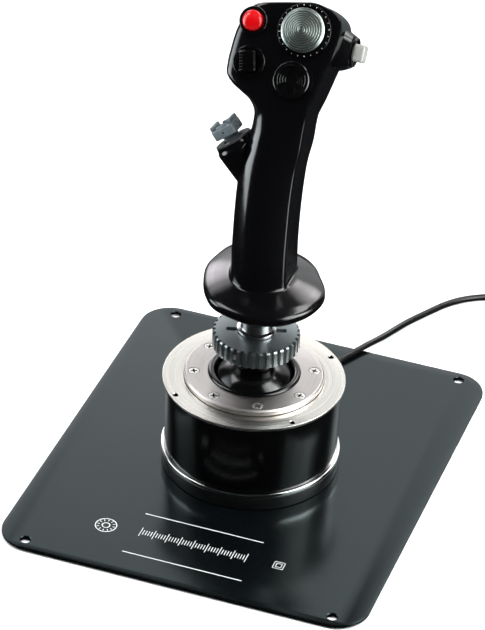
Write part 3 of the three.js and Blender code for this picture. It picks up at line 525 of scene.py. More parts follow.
def joined(*parts):
    """One bmesh out of several, as they are."""
    whole = parts[0]
    for part in parts[1:]:
        mesh = bpy.data.meshes.new("part")
        part.to_mesh(mesh)
        part.free()
        whole.from_mesh(mesh)
        bpy.data.meshes.remove(mesh)
    return whole


def as_object(bm):
    mesh = bpy.data.meshes.new("work")
    bm.to_mesh(mesh)
    bm.free()
    obj = bpy.data.objects.new("work", mesh)
    bpy.context.scene.collection.objects.link(obj)
    return obj


def combined(base, others, operation="DIFFERENCE", solver="MANIFOLD"):
    """Cuts, joins or crosses closed meshes one after another."""
    others = list(others)
    if not all(closed(bm) for bm in [base, *others]):
        raise ValueError("only closed meshes can be combined")
    work = as_object(base)
    tools = [as_object(o) for o in others]
    for tool in tools:
        modifier = work.modifiers.new("combine", "BOOLEAN")
        modifier.operation = operation
        modifier.solver = solver
        modifier.object = tool
    bpy.context.view_layer.update()
    result = work.evaluated_get(bpy.context.evaluated_depsgraph_get()).to_mesh()
    bm = bmesh.new()
    bm.from_mesh(result)
    for obj in [work, *tools]:
        bpy.data.objects.remove(obj)
    merged = bm.copy()
    bmesh.ops.remove_doubles(merged, verts=merged.verts, dist=1e-4)
    return merged if closed(merged) else bm


def closed(bm):
    return all(edge.is_manifold for edge in bm.edges)


def piece(name, bm, material, body, replaces=(), place=None, sharp=32):
    """Makes a named piece out of a mesh in millimetres. place is its own frame, in millimetres too."""
    bmesh.ops.scale(bm, vec=(MM, MM, MM), verts=bm.verts)
    mesh = bpy.data.meshes.new(name)
    bm.to_mesh(mesh)
    bm.free()
    mesh.materials.append(material)
    mesh.shade_smooth()
    mesh.set_sharp_from_angle(angle=math.radians(sharp))
    obj = bpy.data.objects.new(name, mesh)
    bpy.context.scene.collection.objects.link(obj)
    if place is not None:
        obj.matrix_world = Matrix.Translation(place.translation * MM) @ place.to_3x3().to_4x4()
    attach(obj, body)
    if replaces:
        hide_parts(*replaces)
    return obj


# ---------- frames ----------
def along(axis, origin, hint=(1, 0, 0)):
    """A frame with +Z along an axis and +X as near as can be to a hint."""
    z = Vector(axis).normalized()
    y = z.cross(Vector(hint)).normalized()
    x = y.cross(z)
    return Matrix.Translation(origin) @ Matrix((x, y, z)).transposed().to_4x4()


def turn_z(degrees):
    return Matrix.Rotation(math.radians(degrees), 4, "Z")


TILT = math.radians(FACE["tilt"])
HEAD_FRAME = Matrix.Translation((0, FACE["y"], FACE["z"])) @ Matrix(
    ((1, 0, 0), (0, math.sin(TILT), -math.cos(TILT)), (0, math.cos(TILT), math.sin(TILT)))
).to_4x4()


def on_face(control, roll=0):
    """The frame of a control on the head's face, +Z out of it."""
    return HEAD_FRAME @ Matrix.Translation((control["x"], control["up"], 0)) @ turn_z(roll)


BOSS_FRAME = along(BOSS["axis"], BOSS["at"])
MASTER_FRAME = along(
    (1, 0, 0),
    (HEAD_FRAME @ Vector((0, MASTER["up"], -MASTER["depth"]))),
    (0, math.cos(TILT), -math.sin(TILT)),
)


def across_pin(pin):
    return along((1, 0, 0), pin, (0, 1, 0))


# ---------- the base ----------
def build_plate(looks):
    outline = rounded_rectangle(PLATE["x"], PLATE["y"], PLATE["corner"], 20)
    holes = []
    for sx in (-1, 1):
        for sy in (-1, 1):
            spot = Matrix.Translation((sx * PLATE["hole_x"], sy * PLATE["hole_y"], 0))
            r, top = PLATE["hole_r"], PLATE["top"]
            rim = [(0, 0), (r, 0), (r, top - 0.4), (r + 0.6, top + 0.2), (r + 0.6, 6), (0, 6)]
            holes.append(lathe(rim, SMALL, 0, spot))
    plate = combined(prism(outline, PLATE["bottom"], PLATE["top"], 0.5, steps=4), holes)
    piece("mounting_plate", plate, looks["powder"], "base", ["base_plate"])

    number = 1
    for sy in (-1, 1):
        for sx in (-1, 1):
            spot = Matrix.Translation((sx * PAD["x"], sy * PAD["y"], 0))
            r, top = PAD["r"], PAD["top"]
            pad = lathe([(0, 0.25), (5, 0.25), (5.6, 0), (r, 0), (r, top), (0, top)])
            name = f"rubber_foot_{number}"
            piece(f"pad_{number}", pad, looks["rubber"], "base", [name], spot)
            number += 1


def build_marks(looks):
    """Plain marks on the plate: a graduated scale between two rules, a dial and a nested square."""
    low, high = PLATE["top"] - 0.2, PLATE["top"] + 0.04
    parts = [block((-42, y - 0.35, low), (39, y + 0.35, high)) for y in (-84.8, -127.4)]
    for i in range(41):
        x = -38 + 72 * i / 40
        reach = 4.6 if i % 5 == 0 else 2.4
        parts.append(block((x - 0.22, -104 - reach, low), (x + 0.22, -104 + reach, high)))
    dial = (-61.3, -106)
    for inner, outer in ((6.6, 7.2), (2.2, 2.8)):
        parts.append(tube(inner, outer, low, high, SMALL, 0, Matrix.Translation((*dial, 0))))
    for i in range(12):
        turn = Matrix.Translation((*dial, 0)) @ turn_z(30 * i)
        parts.append(block((4.4, -0.25, low), (6, 0.25, high), place=turn))
    centre = (55.8, -103.4)
    for half in (3.6, 2):
        for k in range(4):
            turn = Matrix.Translation((*centre, 0)) @ turn_z(90 * k)
            parts.append(block((-half, half - 0.4, low), (half, half, high), place=turn))
    piece("plate_marks", joined(*parts), looks["ink"], "base")


def build_shells(looks):
    floor = FOOT["bottom"] + 4
    inside = FOOT["r"] - FOOT["wall"]
    foot = lathe([
        (0, FOOT["bottom"]), (FOOT["r"], FOOT["bottom"]), (FOOT["r"], FOOT["top"]), (inside, FOOT["top"]),
        (inside, floor), (10, floor), (10, 12.4), (0, 12.4),
    ], ROUND, 0.6)
    cable_hole = rod(3.4, 40, 70, SMALL, 0, along((0, 1, 0), (0, 0, 9.3)))
    piece("foot", combined(foot, [cable_hole]), looks["satin"], "base", ["base_foot"])
    trim = tube(inside, TRIM["r"], TRIM["bottom"], TRIM["top"], ROUND, 0.7)
    piece("trim", trim, looks["chrome"], "base", ["trim_ring"])
    shell = tube(HOUSING["r"] - HOUSING["wall"], HOUSING["r"], HOUSING["bottom"], HOUSING["top"], ROUND, 0.4)
    piece("housing", shell, looks["housing"], "base", ["base_housing"])

    holes = []
    for i in range(TOP_RING["holes"]):
        spot = turn_z(45 + 90 * i) @ Matrix.Translation((TOP_RING["hole_at"], 0, 0))
        r, top = TOP_RING["hole_r"], TOP_RING["top"]
        rim = [(0, 60), (r, 60), (r, top - 0.3), (r + 0.4, top + 0.1), (r + 0.4, 80), (0, 80)]
        holes.append(lathe(rim, SMALL, 0, spot))
    ring = tube(TOP_RING["inner"], TOP_RING["r"], TOP_RING["bottom"], TOP_RING["top"], ROUND, 0.35)
    piece("cover_ring", combined(ring, holes), looks["ring"], "base", ["top_ring"])


def screw_spots():
    for i in range(SCREW["count"]):
        yield i, turn_z(SCREW["first"] + 360 / SCREW["count"] * i) @ Matrix.Translation((SCREW["at"], 0, 0))


def build_disc(looks):
    top, seat = DISC["top"], DISC["top"] - SCREW["head_h"]
    disc = lathe([
        (DISC["inner"], DISC["bottom"]), (DISC["r"], DISC["bottom"]), (DISC["r"], top - 1.1),
        (DISC["r"] - 1.1, top), (DISC["inner"], top),
    ], ROUND, 0.25)
    shank, head = SCREW["shank_r"] + 0.3, SCREW["head_r"] + 0.3
    hole = [(0, 60), (shank, 60), (shank, seat - 0.3), (head, top - 0.5), (head, 80), (0, 80)]
    holes = [lathe(hole, SMALL, 0, spot) for _, spot in screw_spots()]
    piece("clamp_disc", combined(disc, holes), looks["disc"], "base", ["retaining_disc"])

    for i, spot in screw_spots():
        face = top - 0.1
        body = lathe([
            (0, SCREW["bottom"]), (SCREW["shank_r"], SCREW["bottom"]), (SCREW["shank_r"], seat),
            (SCREW["head_r"], face - 0.35), (SCREW["head_r"] - 0.1, face), (0, face),
        ], SMALL, 0.12)
        turn = Matrix.Rotation(random.uniform(0, math.pi / 2), 4, "Z")
        cross = []
        for k in range(2):
            wing = block((-2.2, -0.5, face - 1.2), (2.2, 0.5, face + 1), place=turn @ turn_z(90 * k))
            cross.append(wing)
        cross.append(lathe([(0, face - 1.6), (0.9, face - 0.4), (1, face + 1), (0, face + 1)], 24, 0))
        screw = combined(body, cross)
        name = f"disc_screw_{i + 1}"
        piece(f"screw_{i + 1}", screw, looks["disc_screw"], "base", [name], spot)

    bezel = lathe([
        (29.6, 67.2), (33.4, 67.2), (33.4, 69.4), (30, 69.4), (30, 74.2), (29, 75), (27, 75), (26.2, 74),
        (28.4, 69.5),
    ], ROUND, 0.6)
    piece("bezel", bezel, looks["gloss"], "base", ["socket_bezel"])


def build_ball(looks):
    r, flat, bore = BALL["r"], BALL["flat"], BALL["bore"]
    low = math.asin((flat - PIVOT_Z) / r)
    high = math.acos(bore / r)
    profile = [(0, BALL["bore_bottom"]), (bore, BALL["bore_bottom"])]
    steps = 72
    arc = [low + (high - low) * i / steps for i in range(steps, -1, -1)]
    profile += [(r * math.cos(a), PIVOT_Z + r * math.sin(a)) for a in arc]
    profile += [(5, flat), (5, 20), (3.3, 20), (3.3, 22), (0, 22)]
    ball = lathe(profile, ROUND, 0)
    across = along((0, 1, 0), (0, 0, PIVOT_Z))
    pins = rod(BALL["pin_r"], -BALL["pin_end"], BALL["pin_end"], SMALL, 0.3, across)
    ball = combined(ball, [pins], "UNION")
    inner_bore = rod(bore, BALL["bore_bottom"], 100, SMALL, 0)
    piece("pivot_ball", combined(ball, [inner_bore]), looks["gloss"], "stick", ["ball"])

    bottom, top, r = SPRING["bottom"], SPRING["top"], SPRING["r"]
    steps = SPRING["turns"] * SPRING["steps"]
    points = []
    for i in range(steps + 1):
        a = 2 * math.pi * i / SPRING["steps"]
        points.append((r * math.cos(a), r * math.sin(a), bottom + (top - bottom) * i / steps))
    wire = wire_curve("spring", points, SPRING["wire"], looks["steel"])
    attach(wire, "base")
    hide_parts("centring_spring")


# ---------- the stem and the nut ----------
def build_neck(looks):
    collar = lathe([(8.3, 84), (13.5, 81.2), (16, 84.5), (19, 88.5), (21.5, 90.5), (21.5, 93.4), (8.3, 93.4)],
                   ROUND, 1.1)
    piece("collar", collar, looks["gloss"], "stick", ["stem_collar"])
    neck = lathe([
        (NECK["bore"], NECK["bottom"]), (NECK["r"], NECK["bottom"]), (NECK["r"], 106.3), (13, 106.3),
        (13, 108.3), (NECK["r"], 109), (NECK["r"], NECK["top"]), (NECK["bore"], NECK["top"]),
    ], ROUND, 0.35)
    piece("neck", neck, looks["neck"], "stick", ["grip_neck"])


def nut_radius(angle, z):
    """The nut's outside: broad ridges with square-shouldered grooves between them, chamfered at both ends."""
    share = (angle / (2 * math.pi) * NUT["ridges"]) % 1
    off = abs(share - 0.5) / 0.5
    groove = ease(min(1.0, max(0.0, (off - NUT["land"]) / NUT["shoulder"])))
    ridge = NUT["r"] - 1.3 * NUT["depth"] * groove
    chamfer = min(z - NUT["bottom"] + NUT["bottom_r"], NUT["top"] - z + NUT["top_r"])
    return min(ridge, chamfer)


def build_nut(looks):
    count = NUT["ridges"] * 18
    bottom, top = NUT["bottom"], NUT["top"]
    heights = [bottom + 0.02, bottom + 0.6, bottom + 1.2, bottom + 1.9, bottom + 2.4]
    heights += [top - 2.6, top - 2, top - 1.4, top - 0.8, top - 0.4, top - 0.02]
    rows = [ring_points(NUT["bore"], bottom, count)]
    for z in heights:
        row = []
        for i in range(count):
            a = 2 * math.pi * i / count
            r = nut_radius(a, z)
            row.append((r * math.cos(a), r * math.sin(a), z))
        rows.append(row)
    rows.append(ring_points(25.2, top, count))
    rows.append(ring_points(NUT["bore"] + 0.5, top, count))
    rows.append(ring_points(NUT["bore"], top - 0.5, count))
    bm = bmesh.new()
    skin(bm, rows, closed=True)
    nut = moved(bm, None)
    slot = block((-19.5, -2, top - 1.5), (19.5, 2, top + 5), 0, turn_z(NUT["slot_angle"]))
    angle = SET_SCREW["angle"]
    place = along((math.cos(angle), math.sin(angle), 0), (0, 0, SET_SCREW["z"]))
    hole = rod(SET_SCREW["hole_r"], 22, 40, 32, 0, place)
    nut = combined(nut, [slot, hole])
    piece("nut", nut, looks["nut"], "ring_nut", ["ring_nut"], sharp=28)

    grub = rod(SET_SCREW["r"], 22.5, NUT["r"] - 0.9, 32, 0.15)
    hexagon = [(math.cos(math.pi / 3 * k), math.sin(math.pi / 3 * k)) for k in range(6)]
    grub = combined(grub, [prism(hexagon, 26, 30, 0)])
    piece("nut_set_screw", grub, looks["screw"], "ring_nut", place=place)


# ---------- the handgrip ----------
def grip_stations():
    tilt = math.radians(FACE["tilt"])
    rows = []
    for y, z, lean, left, right, apex, bow, strip, depth, front in HANDLE:
        rows.append(dict(y=y, z=z, lean=lean, roll=0, left=left, right=right, apex=apex, bow=bow,
                         strip=strip, depth=depth, front=front, inset=0))
    for up, left, right, roll, depth, front, inset in HEAD:
        rows.append(dict(y=FACE["y"] + up * math.sin(tilt), z=FACE["z"] + up * math.cos(tilt),
                         lean=FACE["tilt"], roll=roll, left=left, right=right, apex=0, bow=0,
                         strip=depth * STRIP_SHARE, depth=depth, front=front, inset=inset))
    return rows


def grip_outline(s, steps):
    """One station's outline, anticlockwise from its right front edge, as (across, depth) pairs."""
    points = []

    def quarter(corner, reach, power, swapped):
        for i in range(steps):
            angle = math.pi / 2 * i / steps
            c, d = math.cos(angle) ** (2 / power), math.sin(angle) ** (2 / power)
            a, b = (c, d) if swapped else (d, c)
            points.append((corner[0] + reach[0] * a, corner[1] + reach[1] * b))

    middle = s["bow"] + 0.42 * (s["depth"] - s["bow"])
    for i in range(steps - 1):
        t = 1 - i / (steps - 1)
        points.append((s["apex"] + (s["right"] - s["apex"]) * t, s["bow"] * t * t))
    quarter((s["apex"], middle), (s["left"] - s["apex"], -middle), s["front"], False)
    quarter((s["apex"], middle), (s["left"] - s["apex"], s["depth"] - middle), 2.4, True)
    rear = s["bow"] + s["strip"]
    quarter((s["apex"], rear), (s["right"] - s["apex"], s["depth"] - rear), 2.4, False)
    points.append((s["right"], rear))
    return points


def even(points, count):
    """A closed outline resampled to points an even distance apart, its first one kept."""
    return even_run([*points, points[0]], count)


def even_run(points, count):
    """Points an even distance apart along an open run, without its last one."""
    points = np.array(points, float)
    run = np.concatenate([[0], np.cumsum(np.linalg.norm(np.diff(points, axis=0), axis=1))])
    at = np.linspace(0, run[-1], count, endpoint=False)
    return np.stack([np.interp(at, run, points[:, k]) for k in range(points.shape[1])], axis=1)


def bend(start, corner, end):
    """Nine steps along a curve that leaves and meets the two sides of a corner."""
    return [curve_point(start, corner, end, t) for t in np.linspace(0, 1, 9)]


def crease(outline, reach):
    """A curve that rounds the outline's first corner, and the rest of the outline from its end on."""
    corner = outline[0]
    rest = outline[np.linalg.norm(outline - corner, axis=1) > reach * 1.05]
    ends = [corner + (p - corner) / np.linalg.norm(p - corner) * reach for p in (rest[-1], rest[0])]
    return bend(ends[0], corner, ends[1]), rest


def grip_ring(s, draw_in=0.0, count=RING, edge=2):
    lean, roll = math.radians(s["lean"]), math.radians(s["roll"])
    across = np.array((math.cos(roll), math.sin(roll) * math.sin(lean), math.sin(roll) * math.cos(lean)))
    inward = np.array((0, math.cos(lean), -math.sin(lean)))
    origin = np.array((0, s["y"], s["z"]))
    middle = np.array(((s["left"] + s["right"]) / 2, s["depth"] / 2))
    shrink = np.array((
        1 - draw_in / ((s["right"] - s["left"]) / 2),
        1 - (draw_in + s["inset"]) / (s["depth"] / 2),
    ))
    curve, rest = crease(np.array(grip_outline(s, 24), float), edge)
    side = count // 9
    outline = np.concatenate([
        even_run([*curve[4:], *rest], count - side), even_run([rest[-1], *curve[:5]], side),
    ])
    flat = middle + (outline - middle) * shrink
    return origin + flat[:, :1] * across + flat[:, 1:] * inward


def smooth_rows(rows, finer):
    """Runs a smooth curve through the matching points of rows of points."""
    rows = np.array(rows, float)
    gaps = np.linalg.norm(np.diff(rows, axis=0), axis=2).mean(axis=1)[:, None, None]
    slopes = np.diff(rows, axis=0) / gaps
    inner = (slopes[:-1] * gaps[1:] + slopes[1:] * gaps[:-1]) / (gaps[:-1] + gaps[1:])
    tangents = np.concatenate([slopes[:1], inner, slopes[-1:]])
    made = []
    for i in range(len(rows) - 1):
        for k in range(finer):
            t = k / finer
            made.append(
                rows[i] * (2 * t**3 - 3 * t**2 + 1) + rows[i + 1] * (3 * t**2 - 2 * t**3)
                + (tangents[i] * (t**3 - 2 * t**2 + t) + tangents[i + 1] * (t**3 - t**2)) * gaps[i]
            )
    made.append(rows[-1])
    return made


def loft(rows):
    bm = bmesh.new()
    made = skin(bm, [[tuple(p) for p in row] for row in rows])
    cap(bm, made[0])
    cap(bm, made[-1], flip=True)
    return moved(bm, None)


def grip_body(draw_in=0.0, first=0, last=None, count=RING, finer=6):
    rings = [grip_ring(s, draw_in, count) for s in grip_stations()[first:last]]
    if last is None:
        top = rings[-1]
        centre = top.mean(axis=0)
        rings += [centre + (top - centre) * share for share in (0.86, 0.6, 0.3)]
    return loft(smooth_rows(rings, finer))


FLANGE_REACH = 40  # about how far the rim is from its middle: it turns shares into millimetres
FLANGE_PROFILE = [
    (0.95, FLANGE["bottom"]), (1.0, FLANGE["bottom"] + 0.2), (1.03, FLANGE["bottom"] + 1.6),
    (1.03, FLANGE["rim"] - 1.2), (0.985, FLANGE["rim"] + 0.3), (0.88, 142.2), (0.74, 144), (0.62, 145.4),
    (0.5, FLANGE["top"] - 0.6),
]


def flange_rows(count):
    """Loops round the hand rest from its underside up, each with its share of the rim's size."""
    x, y = FLANGE["centre"]
    rim = even([tuple(p) for p in smooth_loop(HAND_REST, 12)], count)
    for r, z in soften([(share * FLANGE_REACH, z) for share, z in FLANGE_PROFILE], 2, 5):
        share = r / FLANGE_REACH
        yield share, z, [(x + (px - x) * share, y + (py - y) * share, z) for px, py in rim]


def flange_body(count=240):
    return loft([row for _, _, row in flange_rows(count)])


def flange_height(points):
    """How high the hand rest's top is under points of the XY plane."""
    rows = list(flange_rows(360))
    rim = np.array(rows[0][2])[:, :2]
    middle = np.array(FLANGE["centre"])
    reach = (rim - middle) / rows[0][0]
    angles = np.arctan2(reach[:, 1], reach[:, 0])
    order = np.argsort(angles)
    away = np.asarray(points)[:, :2] - middle
    rim_reach = np.interp(np.arctan2(away[:, 1], away[:, 0]), angles[order],
                          np.linalg.norm(reach, axis=1)[order], period=2 * math.pi)
    top = sorted((share, z) for share, z, _ in rows if z > FLANGE["rim"] - 2)
    shares, heights = zip(*top)
    return np.interp(np.linalg.norm(away, axis=1) / rim_reach, shares, heights)


def smooth_loop(points, finer):
    """A smooth closed curve through points."""
    points = np.array(points, float)
    count = len(points)
    made = []
    for i in range(count):
        a, b, c, d = (points[(i + k - 1) % count] for k in range(4))
        for k in range(finer):
            t = k / finer
            made.append(0.5 * (2 * b + (c - a) * t + (2 * a - 5 * b + 4 * c - d) * t**2
                               + (3 * b - a - 3 * c + d) * t**3))
    return made


def handle_loop(heights, draw_in=0.0):
    """The handle's outline with each of its points at a height of its own."""
    stations = grip_stations()[:4]
    rings = np.array([grip_ring(s, draw_in) for s in stations])
    levels = rings[:, :, 2]
    made = []
    for i, z in enumerate(heights):
        order = np.argsort(levels[:, i])
        made.append([np.interp(z, levels[order, i], rings[order, i, k]) for k in (0, 1)] + [z])
    return np.array(made)


def foot_fillet(radius=1.5):
    """The rounded corner where the handle rises out of the hand rest."""
    base = FLANGE["top"] - 2
    foot = handle_loop(np.full(RING, base))
    for _ in range(3):
        meet = flange_height(foot)
        foot = handle_loop(meet)
    outer = handle_loop(meet, -radius)
    outer[:, 2] = flange_height(outer) - 0.02
    upper = handle_loop(meet + radius, -0.01)
    rows = [handle_loop(meet - 2, 2), np.column_stack([outer[:, :2], outer[:, 2] - 1])]
    rows += bend(outer, foot, upper)
    rows.append(handle_loop(meet + radius, 2))
    bm = bmesh.new()
    skin(bm, [[tuple(p) for p in row] for row in rows], closed=True)
    return moved(bm, None)


def boss_loft(rows, radius=0.8):
    """The thumb hat's boss leans into the handle below its collar."""
    shift = {height: (x, y) for _, x, y, height in rows}
    low = min(shift)
    knee = sorted(shift)[1]
    points = []
    for r, height in soften([(row[0], row[3]) for row in rows], radius, 5):
        share = max(0.0, (knee - height) / (knee - low))
        x, y = (c * share for c in shift[low])
        ring = ring_points(r, height, 96)
        points.append([tuple(BOSS_FRAME @ Vector((px + x, py + y, pz))) for px, py, pz in ring])
    return loft(points)


def square_loft(rows, corner, place, radius=1.0, steps=8):
    """A rounded square that changes size along its axis."""
    points = []
    for half, height in soften(rows, radius, 5):
        outline = rounded_rectangle(half * 2, half * 2, corner * half, steps)
        points.append([tuple(place @ Vector((x, y, height))) for x, y in outline])
    return loft(points)


def across_grip(width, low, high):
    return block((-width / 2, *low), (width / 2, *high))


def grip_openings():
    _, ty, tz = TRIGGER["pin"]
    _, py, pz = PADDLE["pin"]
    yield rod(NECK["r"] + 0.3, 100, 160, ROUND, 0)
    yield rod(28, FLANGE["bottom"] - 5, FLANGE["bottom"] + FLANGE["recess"], ROUND, 0)
    yield rod(WEAPON["bezel"] - 1.4, -8, 8, SMALL, 0, on_face(WEAPON))
    yield rod(9, -8, 8, SMALL, 0, on_face(TRIM_HAT))
    yield rod(7.4, -8, 8, SMALL, 0, on_face(SQUARE_HAT))
    yield rod(7.4, -8, 8, SMALL, 0, on_face(ROUND_HAT))
    yield rod(6.8, -8, 8, SMALL, 0, BOSS_FRAME)
    yield rod(6.6, MASTER["base"] - 6, MASTER["face"] + 5, SMALL, 0, MASTER_FRAME)
    yield rod(STEERING["r"] + 0.5, -9, 14, SMALL, 0, along(STEERING["axis"], STEERING["at"]))
    yield across_grip(TRIGGER["slot"], (ty - 6, tz - 12), (ty + 16, tz + 7))
    yield across_grip(PADDLE["slot"], (py - 5, pz - 10), (py + 12, pz + 6))
    yield rod(TRIGGER["r"] + 0.1, -TRIGGER["cheek"], TRIGGER["cheek"], 24, 0, across_pin(TRIGGER["pin"]))
    yield rod(PADDLE["r"] + 0.1, -PADDLE["cheek"], PADDLE["cheek"], 24, 0, across_pin(PADDLE["pin"]))


def build_grip(looks):
    boss = boss_loft([(8.5, -5.3, 3, -BOSS["length"]), (BOSS["r"], 0, 0, -4.2), (BOSS["top"], 0, 0, -1.6),
                      (BOSS["top"], 0, 0, 0)])
    hollow = boss_loft([(5, -4, 3, WALL - BOSS["length"]), (10.5, 0, 0, -4.2), (9.4, 0, 0, -WALL)], 0.1)
    side_boss = square_loft([(13.5, MASTER["base"]), (13, 32), (10, MASTER["face"])], 0.55, MASTER_FRAME, 2.4)
    shell = combined(grip_body(), [foot_fillet(), flange_body(), boss, side_boss], "UNION")
    shell = combined(shell, [grip_body(WALL, 1, -3, 60, 3), hollow])
    cheeks = []
    for lever in (TRIGGER, PADDLE):
        _, y, z = lever["pin"]
        cheek = across_grip(lever["cheek"], (y - 5, z - 9), (y + 15, z + 5))
        cheeks.append(combined(cheek, [grip_body(0.05, finer=3)], "INTERSECT"))
    shell = combined(shell, cheeks, "UNION")
    shell = combined(shell, list(grip_openings()))
    keep = as_object(shell).data
    seam = 0.07
    for side, name in ((-1, "grip_shell_left"), (1, "grip_shell_right")):
        half = bmesh.new()
        half.from_mesh(keep)
        low, high = sorted((side * seam, side * 200))
        half = combined(half, [block((low, -200, 0), (high, 200, 400))], "INTERSECT")
        piece(name.replace("shell", "half"), half, looks["grip"], "stick", [name], sharp=36)
    bpy.data.objects.remove(bpy.data.objects["work"])


# ---------- the buttons and hats ----------
def build_weapon(looks):
    frame = on_face(WEAPON)
    r, bezel = WEAPON["r"], WEAPON["bezel"]
    ring = lathe([(r + 0.4, -2.6), (bezel - 1.7, -2.6), (bezel - 1.7, 0.3), (bezel, 0.3), (bezel - 0.5, 1.6),
                  (r + 0.4, 1.6)], 96, 0.7)
    piece("weapon_ring", ring, looks["mirror"], "stick", ["weapon_bezel"], frame)
    dome = [(r * math.cos(a), 3.2 + 3 * math.sin(a)) for a in np.linspace(0.05, math.pi / 2 - 0.02, 24)]
    cap_shape = lathe([(0, -5.4), (r - 0.8, -5.4), (r, -4.6), (r, 3.2), *dome, (0, 6.2)], 96, 0.1)
    piece("weapon_cap", cap_shape, looks["red"], "weapon_button", ["weapon_button"], frame)


def build_trim_hat(looks):
    frame = on_face(TRIM_HAT, ROLL)
    r, bezel = TRIM_HAT["r"], TRIM_HAT["bezel"]
    ring = lathe([(r + 1.4, 0.3), (bezel, 0.3), (bezel, 1.4), (r + 1.4, 1.4)], 120, 0.5)
    piece("trim_surround", ring, looks["mirror"], "stick", ["trim_bezel"], frame)
    marks = []
    for i in range(24):
        wide = 0.28 if i % 6 else 0.5
        marks.append(block((r + 1.75, -wide / 2, 1.3), (bezel - 0.75, wide / 2, 1.43), place=turn_z(15 * i)))
    piece("trim_scale", joined(*marks), looks["ink"], "stick", place=frame)
    rows = [(0, 3.6), (12, 3.6), (r, 4.4), (r, 5.2), (12.9, 6.1)]
    steps, widest, narrowest, low, rise = 8, 12.8, 1.2, 6.1, 4.4
    for i in range(steps):
        a = widest - (widest - narrowest) * i / steps
        z = low + rise * i / steps
        rows += [(a, z), (a - 0.2, z + 0.45), (a - 0.9, z + 0.62), (a - 1.2, z + 0.3)]
    rows += [(1.2, 10.5), (0, 10.8)]
    hat = joined(lathe(rows, 160, 0.04), rod(3, -2.6, 4, 32))
    piece("trim_cap", hat, looks["hat"], "trim_hat", ["trim_hat"], frame, sharp=40)


def build_square_hat(looks):
    frame = on_face(SQUARE_HAT, ROLL)
    wide, tall, bezel = SQUARE_HAT["wide"], SQUARE_HAT["tall"], SQUARE_HAT["bezel"]
    ring = lathe([(bezel - 1.5, 0.3), (bezel, 0.3), (bezel, 1.8), (bezel - 1.5, 1.8)], 96, 0.7)
    piece("square_hat_ring", ring, looks["mirror"], "stick", ["square_hat_collar"], frame)
    parts = [prism(rounded_rectangle(wide, tall, 1.6), 3.8, 6.4, 0.5), rod(3, -2.6, 5, 32)]
    ridge = wide / 2 - 0.6
    for i in range(7):
        y = (i - 3) * 1.85
        parts.append(block((-ridge, y - 0.5, 5.8), (ridge, y + 0.5, 7.2), 0.42))
    piece("square_cap", joined(*parts), looks["mirror"], "square_hat", ["square_hat"], frame)


def arc_rib(r, width, half_angle, bottom, top):
    """A rounded rib along an arc about Z, centred on +X."""
    inner, outer = r - width / 2, r + width / 2
    corners = [(inner, bottom), (inner, top), (outer, top), (outer, bottom)]
    section = soften(corners, width * 0.4, 3, closed=True)
    rows = []
    for k in range(17):
        a = math.radians(half_angle) * (k / 8 - 1)
        rows.append([(x * math.cos(a), x * math.sin(a), z) for x, z in section])
    return loft(rows)


def build_round_hat(looks):
    frame = on_face(ROUND_HAT, ROLL)
    r = ROUND_HAT["r"]
    dish = [(0, 3), (r - 1.5, 3), (r, 4), (r, 5.2), (r - 0.8, 6), (r - 1.9, 5.7), (7, 5), (0, 4.4)]
    parts = [lathe(dish, 120, 0.35), rod(3, -2.6, 4, 32)]
    for quarter in range(4):
        for k in range(4):
            rib = arc_rib(4 + 1.65 * k, 0.9, 30, 4.2, 5.6 + 0.24 * k)
            bmesh.ops.transform(rib, matrix=turn_z(90 * quarter), verts=rib.verts)
            parts.append(rib)
    piece("round_cap", joined(*parts), looks["mirror"], "round_hat", ["round_hat"], frame)


def build_thumb_hat(looks):
    mount = tube(6.6, BOSS["mount"], 0.3, 1.5, 96, 0.25)
    holes = []
    for side in (-1, 1):
        holes.append(rod(1.5, 1, 3, 24, 0, Matrix.Translation((0, side * 9.6, 0))))
    piece("thumb_mount", combined(mount, holes), looks["mount"], "stick", ["thumb_hat_mount"],
          BOSS_FRAME)
    for number, side in enumerate((-1, 1)):
        spot = BOSS_FRAME @ Matrix.Translation((0, side * 9.6, 0)) @ turn_z(20 + 50 * number)
        head = rod(1.35, 0.9, 1.75, 32, 0.2)
        head = combined(head, [block((-2, -0.2, 1.4), (2, 0.2, 3))])
        piece(f"thumb_mount_screw_{number + 1}", head, looks["screw"], "stick", place=spot)

    body = prism(rounded_rectangle(16.6, 15.4, 2.6), 5, 11.6, 0.7)
    tips = []
    for side in (-1, 1):
        turn = turn_z(0 if side > 0 else 180)
        tips.append(block((5.2, -6, 10.8), (8, 6, 14.6), 0.7, turn))
        tips.append(block((-3.4, 5, 10.8), (3.4, 7.4, 13), 0.6, turn))
    tips.append(lathe([(0, 0.9), (4.9, 0.9), (4.9, 3), (6.2, 5.4), (0, 5.6)], SMALL, 0.2))
    hat = combined(body, tips, "UNION")
    grooves = [block((-4.4, y - 0.5, 11), (4.4, y + 0.5, 12.5)) for y in (-2.6, 0, 2.6)]
    dot = rod(0.7, 6, 9, 24, 0, along((0, -1, 0), (0, 0, 8.4)))
    hat = combined(hat, [*grooves, dot])
    piece("thumb_cap", hat, looks["grey"], "thumb_hat", ["thumb_hat"], BOSS_FRAME)


def build_master_button(looks):
    collar = tube(8.2, 9.4, MASTER["face"] + 0.3, MASTER["collar"], 96, 0.3)
    piece("master_ring", collar, looks["gloss"], "stick", ["master_collar"], MASTER_FRAME)
    half = MASTER["size"] / 2
    flat = Matrix.Identity(4)
    rows = [(half, MASTER["face"] + 2), (half, MASTER["end"] - 0.6), (half - 0.6, MASTER["end"])]
    button = square_loft(rows, 0.3, flat, 0.5)
    stem = rod(4.4, MASTER["base"] - 2, MASTER["collar"], SMALL)
    piece("master_cap", joined(button, stem), looks["pale"], "master_button",
          ["master_button"], MASTER_FRAME)


